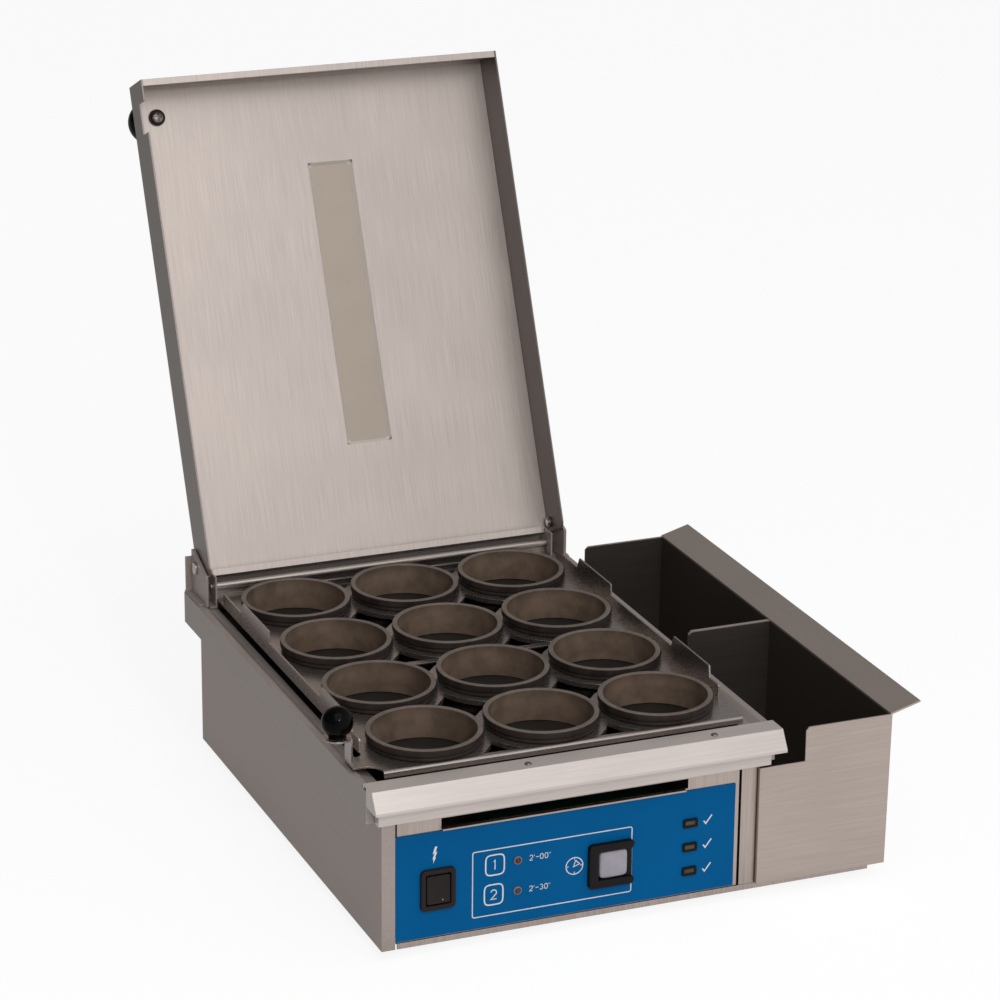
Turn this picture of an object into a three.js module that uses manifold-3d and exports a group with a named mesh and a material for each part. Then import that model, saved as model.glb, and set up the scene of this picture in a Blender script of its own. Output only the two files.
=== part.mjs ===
// Countertop egg cooker with twelve rings, built piece by piece as it would come apart on a bench.
// Millimetres, +X right, +Y to the back, +Z up. Until placeOnFloor() moves everything, the zero point
// is the middle of the cabinet in X, the cabinet's front face in Y and its bottom edge in Z.

import * as THREE from "three";
import Module from "manifold-3d";

const wasm = await Module();
wasm.setup();

// Sizes that many pieces share
const SHEET = 1.5; // stainless sheet
const SEAT = 0.3; // gap where one piece rests on another
const PIN_CLEARANCE = 0.08; // radial, where a pin turns in a hole
const ROUND_SIDES = 24; // sides of the rings and their holes
const SMALL_SIDES = 16; // sides of pins, knobs and screws
const MARGIN = 5; // how far a cutter runs past the face that it opens

// Egg rings in rows from back to front, and columns from left to right. They set how wide and deep the rest is.
const RING = {
  columns: 3, rows: 4, columnGap: 7.1, rowGap: 9.4,
  height: 27.7, rimRadius: 49, rimHeight: 3.4, rimChamfer: 1, upperRadius: 47.7, lowerRadius: 46.4,
  boreTop: 44.4, boreBottom: 43.2, clipWidth: 6, clipHeight: 7, clipThickness: 1.6, clipAngle: -12,
};
const column = 2 * RING.rimRadius + RING.columnGap;
const row = 2 * RING.rimRadius + RING.rowGap;

// Base, panels and feet
const BASE = { top: 5, shelfWidth: 110, chamfer: 4 };
const PANEL = { height: 118 };
const POST = { left: 12, right: 14, return: 9, rearReturn: 14, rearDepth: 9 };
const FOOT = { radius: 11, topRadius: 12.5, height: 10, inset: 34, screwRadius: 2.5, screwDepth: 4 };
const FRONT_PANEL = { setBack: 1.1, belowTop: 0.6 };
const VENT = { leftInset: 40.3, rightInset: 43.9, aboveFilm: 1.6, height: 8.7, lip: 2.2, lipShort: 3 };
const OVERLAY = { leftInset: 12.4, rightInset: 19.4, bottom: 5.9, belowTop: 17.1, thickness: 0.5, corner: 0.6 };
const REAR_PANEL = {
  louvres: 7, louvreWidth: 5, louvreHeight: 42, louvrePitch: 16, louvresBelowTop: 24, setBack: 3.4,
};
const GLAND = {
  inset: 51, z: 32, radius: 8, nutRadius: 11.5, nutLength: 9, bore: 4.2, length: 26, flange: 3,
};

// Top frame: one pressed sheet, given as a section outward from the cooking opening
const FRAME = {
  skirt: 20.5, height: 29.3, lipWidth: 6, slopeWidth: 6, slopeDrop: 4.6, ledgeDrop: 2,
  wall: 10.4, onPanel: 1.5, overSide: 6, overFront: 17.5, overBack: 18.5,
};

// Ring rack, measured from the rings and from the frame's opening
const RACK = {
  overOpening: 1, behindOpening: 2.2, rearGap: 5.5, sideMargin: 9.9, frontMargin: 1.3, backMargin: 9.8, rise: 16.7,
  holeClearance: 0.6, neckAcross: 19.4, neckAlong: 15.9, arcSteps: 4, lipDepth: 3, frontBorder: 6, border: 3, bridge: 7,
  noseDrop: 6, frontBend: 3, flange: 11, tab: 21.5, tabSlope: 5, flangeStart: 46.3, flangeEnd: 30, frontTabStart: 66.3,
  frontTabLength: 72, backTabEnd: 85, backTabLength: 71,
};
const HANDLE = {
  reach: 16, tongueFront: 15.3, notchRadius: 12, stripFront: 21.3, stripBack: 36.8, innerRadius: 6,
  height: 23.1, tabRadius: 12, knobOut: 24.3, knobBack: 31,
};
const ROD = { radius: 2, inFront: 2.9, abovePlate: 9, head: 3.4, headLength: 1.5 };
const LUG = { gap: 0.6, front: 10.5, back: 6, above: 12.3, foot: 5 };
const rackHalf = ((RING.columns - 1) * column) / 2 + RING.rimRadius + RACK.sideMargin;
const rackFront = FRAME.overFront + RACK.behindOpening;
const frontRow = rackFront + RACK.frontMargin + RING.rimRadius;
const rackBack = frontRow + (RING.rows - 1) * row + RING.rimRadius + RACK.backMargin;

// Cooking opening in the frame, and the cabinet round it
const OPENING = {
  halfWidth: rackHalf - RACK.overOpening, front: FRAME.overFront, back: rackBack + RACK.rearGap,
};
const cabinetHalf = OPENING.halfWidth + FRAME.overSide;
const cabinetDepth = OPENING.back + FRAME.overBack;
const filmLeft = -cabinetHalf + OVERLAY.leftInset;
const filmRight = cabinetHalf - OVERLAY.rightInset;
const filmTop = PANEL.height - OVERLAY.belowTop;
const filmMiddle = (OVERLAY.bottom + filmTop) / 2;
const filmFace = FRONT_PANEL.setBack - SEAT - OVERLAY.thickness - SEAT; // what the controls' bezels stand on
const frameBottom = PANEL.height + SEAT;
const lipTop = frameBottom + FRAME.height;
const wallTop = lipTop - FRAME.slopeDrop - FRAME.ledgeDrop;
const wallBottom = wallTop - FRAME.wall;

// Controls, across from the film's left or right edge and up or down from the film's middle
const SWITCH = {
  fromLeft: 36.7, belowMiddle: 4.2, width: 31, height: 37, proud: 3, bodyWidth: 26, bodyHeight: 32, bodyDepth: 26,
  pocketWidth: 22, pocketHeight: 28, pocketDepth: 13, rockerGap: 0.6, pivotDepth: 1.6,
  rockerHalf: 12.6, rockerProud: 5.6, rockerLow: 1.4, rockerBack: 4, rockerBackHalf: 11, edge: 1.2,
};
const TIMER_KEY = {
  fromRight: 113.7, belowMiddle: 7.5, width: 43, height: 40, proud: 4.5, openWidth: 28, openHeight: 27, keyGap: 0.5,
  keyProud: 2.5, keyDepth: 9, bodyWidth: 34, bodyHeight: 33, bodyDepth: 16, bevel: 2,
};
const LAMP = {
  count: 3, fromRight: 41.6, aboveMiddle: 17.4, pitch: 22.1, width: 13.5, height: 8, proud: 1.6, depth: 14,
  corner: 2, bezel: 0.8,
};
const LED = {
  fromLeft: 107.8, aboveMiddle: 9.3, belowMiddle: 18.2, radius: 2.4, collar: 3.1, proud: 1.2, depth: 9,
};
const BOARD = {
  fromLeft: 86.6, fromRight: 53.6, aboveFilmBottom: 6.1, belowFilmTop: 2.9, thickness: 1.6, depth: 30, post: 3,
  postInset: 7,
};
const RELAY = { width: 30, height: 22, depth: 18, fromLeft: 48, fromTop: 28, pitch: 42 };
const TERMINALS = {
  inset: 77, fromBack: 45, width: 56, depth: 22, height: 18, ways: 5, screwRadius: 3.2, wall: 3,
};

// Cooking surface and what heats it
const GRIDDLE = { rise: 3.9, thickness: 8, flange: 7, flangeThickness: 5, edgeGap: 0.6 };
const ELEMENT = {
  radius: 4, inset: 35, inner: 46, frontInset: 34.5, backInset: 36.5, bend: 30, steps: 44, sides: 8,
};
const SHIELD = { sideInset: 5, frontInset: 12.5, backInset: 11.5, depth: 18 };
const THERMOSTAT = { radius: 9, height: 9, tabHalf: 16, tabWidth: 8, tabThickness: 1.5 };
const griddleTop = wallBottom + GRIDDLE.rise;
const ringBottom = griddleTop + SEAT;
const rackTop = ringBottom + RACK.rise;

// Rod on which the ring rack turns
const rodBack = rackBack - ROD.inFront;
const rodZ = rackTop + ROD.abovePlate;
const lugInner = rackHalf + LUG.gap;

// Bent rail along the frame's front edge
const RAIL = {
  rise: 4.3, gapToRack: 16.4, crease: 16.6, nose: 26.5, slopeDrop: 15.3, hem: 2.4, band: 12, bandInset: 7.5,
};

// Hinge line of the lid
const HINGE = {
  behindOpening: 2.5, aboveRack: 24.5, pinRadius: 3, headRadius: 5.5, headThickness: 2, pinInside: 1,
  clipRadius: 5, clipThickness: 2, openAngle: 113.5,
};
const hingeY = OPENING.back + HINGE.behindOpening;
const hingeZ = rackTop + HINGE.aboveRack;

// Lid: a shallow pan, given closed and then turned open about the hinge
const LID = {
  besideRack: 10, behindHinge: 9, gapToRack: 6.7, belowLip: 2, depth: 40, rearDepth: 11, rearChamfer: 6, lip: 6,
  cornerCut: 11, notchGap: 2.5, notchDepth: 16, troughOffset: 8.5, troughWidth: 48, troughFront: 82.5, troughBack: 103,
  troughDepth: 3, troughBevel: 3, knobInset: 21.5, knobBack: 30, washerRadius: 7.7,
};
const lidHalf = rackHalf + LID.besideRack;
const lidBack = hingeY + LID.behindHinge;
const lidFront = rackFront - LID.gapToRack;
const lidRim = lipTop - LID.belowLip;
const lidTop = lidRim + LID.depth;
const BRACKET = {
  gap: 0.9, thickness: 2.5, front: 28, frontTop: 1, peak: 14, peakBack: 7, foot: 5.2, footBack: 5,
};
const STOP = { above: 7, sideInset: 0.5, foot: 4 };
const KNOB = {
  rackRadius: 13.3, lidRadius: 20.5, neckRadius: 7.5, neckHeight: 2, arcSteps: 8, boreRadius: 2.6, boreDepth: 12,
};
const SCREW = { radius: 2.5, headRadius: 4.4, headHeight: 2.6, slotWidth: 1.1, slotDepth: 1.3 };

// Bins that stand beside the cabinet on the base's shelf
const BIN = {
  gap: 0.8, belowSkirt: 5.5, notchWidth: 42.2, floorWidth: 122.2, lean: 1.7, height: 138.2, flangeWidth: 26.7,
  flangeRise: 7.5, proud: 4.2, frontLength: 236, rearInset: 8.8, between: 0.6, corner: 3,
};

// Materials, coloured as the photograph shows them
const FINISHES = {
  brushedSteel: { color: 0xada29c, roughness: 0.34, metalness: 0.9 },
  shadedSteel: { color: 0x8c807a, roughness: 0.38, metalness: 0.85 },
  polishedSteel: { color: 0xd0c6c0, roughness: 0.22, metalness: 0.95 },
  lidSteel: { color: 0xb8aeaa, roughness: 0.36, metalness: 0.85 },
  castAluminium: { color: 0x2f2b29, roughness: 0.6, metalness: 0.4 },
  nonStick: { color: 0x4a443e, roughness: 0.5, metalness: 0.25 },
  blackPlastic: { color: 0x141414, roughness: 0.22, metalness: 0 },
  darkPlastic: { color: 0x1d1c1c, roughness: 0.5, metalness: 0 },
  greyPlastic: { color: 0x5c5a5a, roughness: 0.5, metalness: 0 },
  blueFilm: { color: 0x00568a, roughness: 0.35, metalness: 0 },
  lampLens: { color: 0x5a1a14, roughness: 0.3, metalness: 0 },
  ledLens: { color: 0x3a2b12, roughness: 0.3, metalness: 0 },
  rubber: { color: 0x191817, roughness: 0.85, metalness: 0 },
  circuitBoard: { color: 0x14512f, roughness: 0.55, metalness: 0 },
  heaterTube: { color: 0x6a635c, roughness: 0.5, metalness: 0.7 },
};

// Helpers

/** Solid for boolean work: the geometry's vertices joined by position only. */
function solid(geometry) {
  const position = geometry.getAttribute("position");
  const index = geometry.getIndex();
  const corners = index ? index.count : position.count;
  const seen = new Map();
  const points = [];
  const triangles = [];
  const grid = 1e4;
  for (let i = 0; i < corners; i += 1) {
    const v = index ? index.getX(i) : i;
    const p = [position.getX(v), position.getY(v), position.getZ(v)];
    const key = p.map((c) => Math.round(c * grid)).join(",");
    if (!seen.has(key)) {
      seen.set(key, points.length);
      points.push(p);
    }
    triangles.push(seen.get(key));
  }
  const kept = [];
  for (let i = 0; i < triangles.length; i += 3) {
    const [a, b, c] = triangles.slice(i, i + 3);
    if (a !== b && b !== c && c !== a) kept.push(a, b, c);
  }
  const mesh = new wasm.Mesh({
    numProp: 3,
    vertProperties: new Float32Array(points.flat()),
    triVerts: new Uint32Array(kept),
  });
  return new wasm.Manifold(mesh);
}

/** The three.js geometry of a solid, with flat faces. */
function geometryOf(manifold) {
  const mesh = manifold.getMesh();
  const geometry = new THREE.BufferGeometry();
  const position = new Float32Array(mesh.numVert * 3);
  for (let i = 0; i < mesh.numVert; i += 1) {
    for (let k = 0; k < 3; k += 1) position[3 * i + k] = mesh.vertProperties[mesh.numProp * i + k];
  }
  geometry.setAttribute("position", new THREE.BufferAttribute(position, 3));
  geometry.setIndex(new THREE.BufferAttribute(new Uint32Array(mesh.triVerts), 1));
  const flat = geometry.toNonIndexed();
  flat.computeVertexNormals();
  return flat;
}

function piece(name, manifold, finish) {
  const mesh = new THREE.Mesh(geometryOf(manifold), new THREE.MeshStandardMaterial(FINISHES[finish]));
  mesh.name = name;
  mesh.material.name = finish;
  return mesh;
}

const joined = (solids) => solids.reduce((whole, next) => whole.add(next));
const without = (whole, cutters) => cutters.reduce((rest, cutter) => rest.subtract(cutter), whole);

/** Box from one corner to the other. */
function block(x0, x1, y0, y1, z0, z1) {
  const box = new THREE.BoxGeometry(x1 - x0, y1 - y0, z1 - z0);
  box.translate((x0 + x1) / 2, (y0 + y1) / 2, (z0 + z1) / 2);
  return solid(box);
}

const shapeOf = (outline) => new THREE.Shape(outline.map(([u, v]) => new THREE.Vector2(u, v)));

function extrude(outline, length) {
  return new THREE.ExtrudeGeometry(shapeOf(outline), { depth: length, bevelEnabled: false });
}

/** Outline in (x, y), raised from z0 to z1. */
function raise(outline, z0, z1) {
  const geometry = extrude(outline, z1 - z0);
  geometry.translate(0, 0, z0);
  return solid(geometry);
}

/** Outline in (y, z), run from x0 to x1. */
function runX(outline, x0, x1) {
  const geometry = extrude(outline, x1 - x0);
  geometry.applyMatrix4(new THREE.Matrix4().set(0, 0, 1, x0, 1, 0, 0, 0, 0, 1, 0, 0, 0, 0, 0, 1));
  return solid(geometry);
}

/** Outline in (x, z), run from y0 to y1. */
function runY(outline, y0, y1) {
  const geometry = extrude(outline, y1 - y0);
  geometry.applyMatrix4(new THREE.Matrix4().set(1, 0, 0, 0, 0, 0, -1, y1, 0, 1, 0, 0, 0, 0, 0, 1));
  return solid(geometry);
}

/** Closed outline of a bent sheet: the open path and the same path moved to its left by the thickness. */
function bentSheet(path, thickness) {
  const normals = [];
  for (let i = 0; i + 1 < path.length; i += 1) {
    const [dx, dy] = [path[i + 1][0] - path[i][0], path[i + 1][1] - path[i][1]];
    const length = Math.hypot(dx, dy);
    normals.push([-dy / length, dx / length]);
  }
  const inner = path.map(([x, y], i) => {
    const before = normals[Math.max(i - 1, 0)];
    const after = normals[Math.min(i, normals.length - 1)];
    const mitre = thickness / (1 + before[0] * after[0] + before[1] * after[1]);
    return [x + (before[0] + after[0]) * mitre, y + (before[1] + after[1]) * mitre];
  });
  return [...path, ...inner.reverse()];
}

/** Profile in (radius, height) turned about +Z. The profile ends on the axis or closes on itself. */
function turned(profile, sides) {
  return solid(new THREE.LatheGeometry(profile.map(([r, z]) => new THREE.Vector2(r, z)), sides).rotateX(Math.PI / 2));
}

function disc(radius, z0, z1, sides = SMALL_SIDES) {
  return turned([[0, z0], [radius, z0], [radius, z1], [0, z1]], sides);
}

/** Rod along X from x0 to x1. */
const rodX = (radius, x0, x1, y, z) => disc(radius, x0, x1).rotate([0, 90, 0]).translate([0, y, z]);

/** Rod along Y from y0 to y1. */
const rodY = (radius, y0, y1, x, z) => disc(radius, y0, y1).rotate([-90, 0, 0]).translate([x, 0, z]);

/** Rectangle in (x, z) with cut corners. */
function chamferedBox(x, z, width, height, corner) {
  const [a, b] = [width / 2, height / 2];
  return [
    [x - a + corner, z - b], [x + a - corner, z - b], [x + a, z - b + corner], [x + a, z + b - corner],
    [x + a - corner, z + b], [x - a + corner, z + b], [x - a, z + b - corner], [x - a, z - b + corner],
  ];
}

function fromPositions(positions) {
  const geometry = new THREE.BufferGeometry();
  geometry.setAttribute("position", new THREE.BufferAttribute(new Float32Array(positions), 3));
  return geometry;
}

/** Sheet bent round a rectangle: each (outward distance, height) of the section becomes a mitred loop. */
function mitredLoop(section, opening) {
  const count = section.length;
  const corners = section.map(([out, z]) => [
    [-opening.halfWidth - out, opening.front - out, z],
    [opening.halfWidth + out, opening.front - out, z],
    [opening.halfWidth + out, opening.back + out, z],
    [-opening.halfWidth - out, opening.back + out, z],
  ]);
  const positions = [];
  for (let i = 0; i < count; i += 1) {
    const next = (i + 1) % count;
    for (let side = 0; side < 4; side += 1) {
      const turn = (side + 1) % 4;
      const [a, b, c, d] = [corners[i][side], corners[i][turn], corners[next][turn], corners[next][side]];
      positions.push(...a, ...b, ...c, ...a, ...c, ...d);
    }
  }
  return solid(fromPositions(positions));
}

// Cabinet pieces

/**
 * Tray under everything, cut away where the left panel's returns come down, and reaching out under the
 * bins.
 */
function basePan() {
  const right = cabinetHalf + BASE.shelfWidth;
  const left = -cabinetHalf + SHEET + SEAT;
  const tray = block(left, right, 0, cabinetDepth, 0, BASE.top);
  const hollow = block(
    left + SHEET, right - SHEET - BASE.chamfer, SHEET, cabinetDepth - SHEET, -MARGIN, BASE.top - SHEET,
  );
  const besideReturn = (width) => -cabinetHalf + width + SHEET + SEAT;
  const cuts = [
    block(left - MARGIN, besideReturn(POST.left), -MARGIN, POST.return + SEAT, -MARGIN, BASE.top + MARGIN),
    block(
      left - MARGIN, besideReturn(POST.rearReturn), cabinetDepth - POST.rearDepth - SEAT, cabinetDepth + MARGIN,
      -MARGIN, BASE.top + MARGIN,
    ),
    raise(
      [[right - BASE.chamfer, -MARGIN], [right + MARGIN, -MARGIN], [right + MARGIN, BASE.chamfer + MARGIN]],
      -MARGIN, BASE.top + MARGIN,
    ),
  ];
  return without(tray.subtract(hollow), cuts);
}

function foot(x, y) {
  const top = BASE.top - SHEET - SEAT;
  const bottom = -FOOT.height;
  const body = turned([[0, bottom], [FOOT.radius, bottom], [FOOT.topRadius, top], [0, top]], SMALL_SIDES);
  const recess = disc(FOOT.screwRadius, bottom - MARGIN, bottom + FOOT.screwDepth);
  return body.subtract(recess).translate([x, y, 0]);
}

/** side is -1 for the left panel and 1 for the right one, which stands on the base. */
function sidePanel(side) {
  const post = side < 0 ? POST.left : POST.right;
  const [x, d] = [cabinetHalf, cabinetDepth];
  const path = [
    [x - POST.rearReturn, d - POST.rearDepth], [x - POST.rearReturn, d], [x, d], [x, 0],
    [x - post, 0], [x - post, POST.return],
  ];
  const outline = bentSheet(path.reverse(), SHEET).map(([px, py]) => [side * px, py]);
  const bottom = side < 0 ? 0 : BASE.top + SEAT;
  return raise(outline, bottom, PANEL.height);
}

function rearPanel() {
  const inner = cabinetHalf - POST.rearReturn - SEAT;
  const back = cabinetDepth - REAR_PANEL.setBack;
  const panel = block(-inner, inner, back - SHEET, back, BASE.top + SEAT, PANEL.height - SEAT);
  const { louvres, louvreWidth, louvreHeight, louvrePitch, louvresBelowTop } = REAR_PANEL;
  const louvreTop = PANEL.height - louvresBelowTop;
  const slots = [];
  for (let i = 0; i < louvres; i += 1) {
    const x = (i - (louvres - 1) / 2) * louvrePitch;
    slots.push(block(
      x - louvreWidth / 2, x + louvreWidth / 2, back - MARGIN, back + MARGIN, louvreTop - louvreHeight, louvreTop,
    ));
  }
  const cordHole = rodY(GLAND.radius + SEAT, back - MARGIN, back + MARGIN, cabinetHalf - GLAND.inset, GLAND.z);
  return without(panel, [...slots, cordHole]);
}

/** Cord inlet: shank through the rear panel, lock nut inside and a tapered cap outside. */
function cordGland() {
  const back = cabinetDepth - REAR_PANEL.setBack;
  const inside = back - SHEET - SEAT;
  const shank = rodY(GLAND.radius, inside - GLAND.flange, back + SEAT + GLAND.flange, 0, 0);
  const lockNut = turned(
    [[0, inside - GLAND.flange], [GLAND.nutRadius, inside - GLAND.flange], [GLAND.nutRadius, inside], [0, inside]], 6,
  ).rotate([-90, 0, 0]);
  const cap = turned([
    [0, back + SEAT], [GLAND.nutRadius, back + SEAT], [GLAND.nutRadius, back + GLAND.nutLength],
    [GLAND.radius, back + GLAND.length], [0, back + GLAND.length],
  ], SMALL_SIDES).rotate([-90, 0, 0]);
  const bore = rodY(GLAND.bore, inside - GLAND.length, back + GLAND.length + MARGIN, 0, 0);
  return joined([shank, lockNut, cap]).subtract(bore).translate([cabinetHalf - GLAND.inset, 0, GLAND.z]);
}

// Where the controls stand across the panel
const switchX = filmLeft + SWITCH.fromLeft;
const timerX = filmRight - TIMER_KEY.fromRight;
const lampX = filmRight - LAMP.fromRight;
const ledX = filmLeft + LED.fromLeft;
const switchZ = filmMiddle - SWITCH.belowMiddle;
const timerZ = filmMiddle - TIMER_KEY.belowMiddle;
const lampHeights = Array.from({ length: LAMP.count }, (_, i) => filmMiddle + LAMP.aboveMiddle - i * LAMP.pitch);
const [upperLed, lowerLed] = [filmMiddle + LED.aboveMiddle, filmMiddle - LED.belowMiddle];
const [boardBottom, boardTop] = [OVERLAY.bottom + BOARD.aboveFilmBottom, filmTop - BOARD.belowFilmTop];

/** Openings that the controls take in the front panel and in the film over it. */
function controlOpenings(clearance) {
  const [near, far] = [-MARGIN, MARGIN * 2];
  const around = (x, z, width, height) =>
    block(
      x - width / 2 - clearance, x + width / 2 + clearance, near, far, z - height / 2 - clearance,
      z + height / 2 + clearance,
    );
  const lampWidth = LAMP.width - 2 * LAMP.bezel;
  const lampHeight = LAMP.height - 2 * LAMP.bezel;
  return [
    around(switchX, switchZ, SWITCH.bodyWidth, SWITCH.bodyHeight),
    around(timerX, timerZ, TIMER_KEY.bodyWidth, TIMER_KEY.bodyHeight),
    ...[upperLed, lowerLed].map((z) => rodY(LED.radius + clearance, near, far, ledX, z)),
    ...lampHeights.map((z) => around(lampX, z, lampWidth, lampHeight)),
  ];
}

function frontPanel() {
  const front = FRONT_PANEL.setBack;
  const left = -cabinetHalf + POST.left + SHEET + SEAT;
  const right = cabinetHalf - POST.right - SHEET - SEAT;
  const slotBottom = filmTop + VENT.aboveFilm;
  const [slotLeft, slotRight] = [filmLeft + VENT.leftInset, filmRight - VENT.rightInset];
  const plate = block(left, right, front, front + SHEET, BASE.top + SEAT, PANEL.height - FRONT_PANEL.belowTop);
  const slot = block(slotLeft, slotRight, -MARGIN, MARGIN * 2, slotBottom, slotBottom + VENT.height);
  const lip = block(slotLeft, slotRight - VENT.lipShort, -VENT.lip, front + SHEET, slotBottom - SHEET, slotBottom);
  return without(plate.subtract(slot).add(lip), controlOpenings(SEAT));
}

function controlOverlay() {
  const back = FRONT_PANEL.setBack - SEAT;
  const outline = chamferedBox(
    (filmLeft + filmRight) / 2, filmMiddle, filmRight - filmLeft, filmTop - OVERLAY.bottom - 2 * SEAT,
    OVERLAY.corner,
  );
  return without(runY(outline, back - OVERLAY.thickness, back), controlOpenings(SEAT));
}

/** Front flange, body behind it and a pocket open to the front. */
function bezelWithPocket(x, z, control, edge, pocketWidth, pocketHeight, pocketDepth) {
  const { width, height, proud, bodyWidth, bodyHeight, bodyDepth } = control;
  const flange = runY(chamferedBox(x, z, width, height, edge), -proud, filmFace);
  const body = block(
    x - bodyWidth / 2, x + bodyWidth / 2, -proud / 2, bodyDepth, z - bodyHeight / 2, z + bodyHeight / 2,
  );
  const pocket = block(
    x - pocketWidth / 2, x + pocketWidth / 2, -proud - MARGIN, pocketDepth, z - pocketHeight / 2, z + pocketHeight / 2,
  );
  return flange.add(body).subtract(pocket);
}

const switchBezel = () =>
  bezelWithPocket(switchX, switchZ, SWITCH, SWITCH.edge, SWITCH.pocketWidth, SWITCH.pocketHeight, SWITCH.pocketDepth);

const timerGuard = () => bezelWithPocket(
  timerX, timerZ, TIMER_KEY, TIMER_KEY.bevel, TIMER_KEY.openWidth, TIMER_KEY.openHeight, TIMER_KEY.bodyDepth - SHEET,
);

/** Rocker seen from the side: its top end stands out, its bottom end is pressed in. */
function switchRocker() {
  const y = SWITCH.pivotDepth;
  const section = [
    [y - SWITCH.rockerProud, SWITCH.rockerHalf], [y - SWITCH.rockerLow - SWITCH.edge, 0],
    [y - SWITCH.rockerLow, -SWITCH.rockerHalf], [y + SWITCH.rockerBack, -SWITCH.rockerBackHalf],
    [y + SWITCH.rockerBack, SWITCH.rockerBackHalf],
  ].map(([py, pz]) => [py, switchZ + pz]);
  const reach = SWITCH.pocketWidth / 2 - SWITCH.rockerGap;
  return runX(section, switchX - reach, switchX + reach);
}

function timerKey() {
  const width = TIMER_KEY.openWidth - 2 * TIMER_KEY.keyGap;
  const height = TIMER_KEY.openHeight - 2 * TIMER_KEY.keyGap;
  const face = -TIMER_KEY.keyProud;
  return runY(chamferedBox(timerX, timerZ, width, height, TIMER_KEY.bevel), face, face + TIMER_KEY.keyDepth);
}

function lamp(z) {
  const bezel = runY(chamferedBox(lampX, z, LAMP.width, LAMP.height, LAMP.corner), -LAMP.proud, filmFace);
  const [halfStem, halfHeight] = [LAMP.width / 2 - LAMP.bezel, LAMP.height / 2 - LAMP.bezel];
  const stem = block(
    lampX - halfStem, lampX + halfStem, -LAMP.proud / 2, LAMP.depth, z - halfHeight, z + halfHeight,
  );
  return bezel.add(stem);
}

function led(z) {
  const profile = [
    [0, -LED.depth], [LED.radius, -LED.depth], [LED.radius, -filmFace], [LED.collar, -filmFace],
    [LED.collar, -filmFace + SEAT], [LED.radius, LED.proud], [LED.radius / 2, LED.proud + LED.radius / 2],
    [0, LED.proud + LED.radius / 2],
  ];
  return turned(profile, SMALL_SIDES).rotate([90, 0, 0]).translate([ledX, 0, z]);
}

/** Circuit board on four posts behind the front panel. */
function controlBoard() {
  const { depth, thickness, post, postInset } = BOARD;
  const [left, right] = [filmLeft + BOARD.fromLeft, filmRight - BOARD.fromRight];
  const posts = [];
  for (const x of [left + postInset, right - postInset]) {
    for (const z of [boardBottom + postInset, boardTop - postInset]) {
      posts.push(rodY(post, FRONT_PANEL.setBack + SHEET + SEAT, depth + thickness / 2, x, z));
    }
  }
  return joined([block(left, right, depth, depth + thickness, boardBottom, boardTop), ...posts]);
}

function relay(i) {
  const x = filmLeft + BOARD.fromLeft + RELAY.fromLeft + i * RELAY.pitch;
  const z = boardTop - RELAY.fromTop;
  const front = BOARD.depth + BOARD.thickness + SEAT;
  return block(
    x - RELAY.width / 2, x + RELAY.width / 2, front, front + RELAY.depth, z - RELAY.height / 2, z + RELAY.height / 2,
  );
}

function terminalBlock() {
  const { width, depth, height, ways, screwRadius, wall } = TERMINALS;
  const [x, y] = [cabinetHalf - TERMINALS.inset, cabinetDepth - TERMINALS.fromBack];
  const bottom = BASE.top + SEAT;
  const body = block(x - width / 2, x + width / 2, y - depth / 2, y + depth / 2, bottom, bottom + height);
  const pitch = (width - 2 * wall) / ways;
  const wells = [];
  for (let i = 0; i < ways; i += 1) {
    const centre = x + (i - (ways - 1) / 2) * pitch;
    wells.push(disc(screwRadius, bottom + height - wall, bottom + height + MARGIN).translate([centre, y, 0]));
  }
  return without(body, wells);
}

// Top frame and front rail

/**
 * Pressed frame: a return that rests on the panels, the skirt, the raised lip, the sloping ledge and the
 * inner wall.
 */
function topFrame() {
  const inLip = FRAME.skirt - FRAME.lipWidth;
  const outer = [
    [FRAME.overSide - FRAME.onPanel, frameBottom], [FRAME.skirt, frameBottom], [FRAME.skirt, lipTop],
    [inLip, lipTop], [inLip - FRAME.slopeWidth, lipTop - FRAME.slopeDrop], [0, wallTop], [0, wallBottom],
  ];
  return mitredLoop(bentSheet(outer, SHEET), OPENING);
}

/** Bent rail hooked over the frame's front, with closed ends. The band under its nose stops short of them. */
function frontRail() {
  const reach = OPENING.halfWidth + FRAME.skirt;
  const top = lipTop + RAIL.rise;
  const noseTop = top - RAIL.slopeDrop;
  const under = noseTop - RAIL.hem;
  const back = rackFront - RAIL.gapToRack;
  const skirtFace = OPENING.front - FRAME.skirt - SEAT;
  const nose = [[-RAIL.crease, top], [-RAIL.nose, noseTop], [-RAIL.nose, under]];
  const band = [[-RAIL.band, under], [-RAIL.band, frameBottom], [skirtFace, frameBottom]];
  const path = [[back, lipTop + SEAT], [back, top], ...nose, ...band];
  const bandReach = reach - RAIL.bandInset;
  const besideBand = block(bandReach, reach + MARGIN, -RAIL.nose, OPENING.front, frameBottom - MARGIN, under);
  const noseCap = runX([[skirtFace, under], [skirtFace, top], ...nose], reach - SHEET, reach);
  const bandCap = runX(
    [...band, [skirtFace, under + SHEET], [-RAIL.band, under + SHEET]], bandReach - SHEET, bandReach,
  );
  const rightHalf = joined([runX(bentSheet(path, SHEET), 0, reach).subtract(besideBand), noseCap, bandCap]);
  return rightHalf.add(rightHalf.mirror([1, 0, 0]));
}

// Cooking surface

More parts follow.
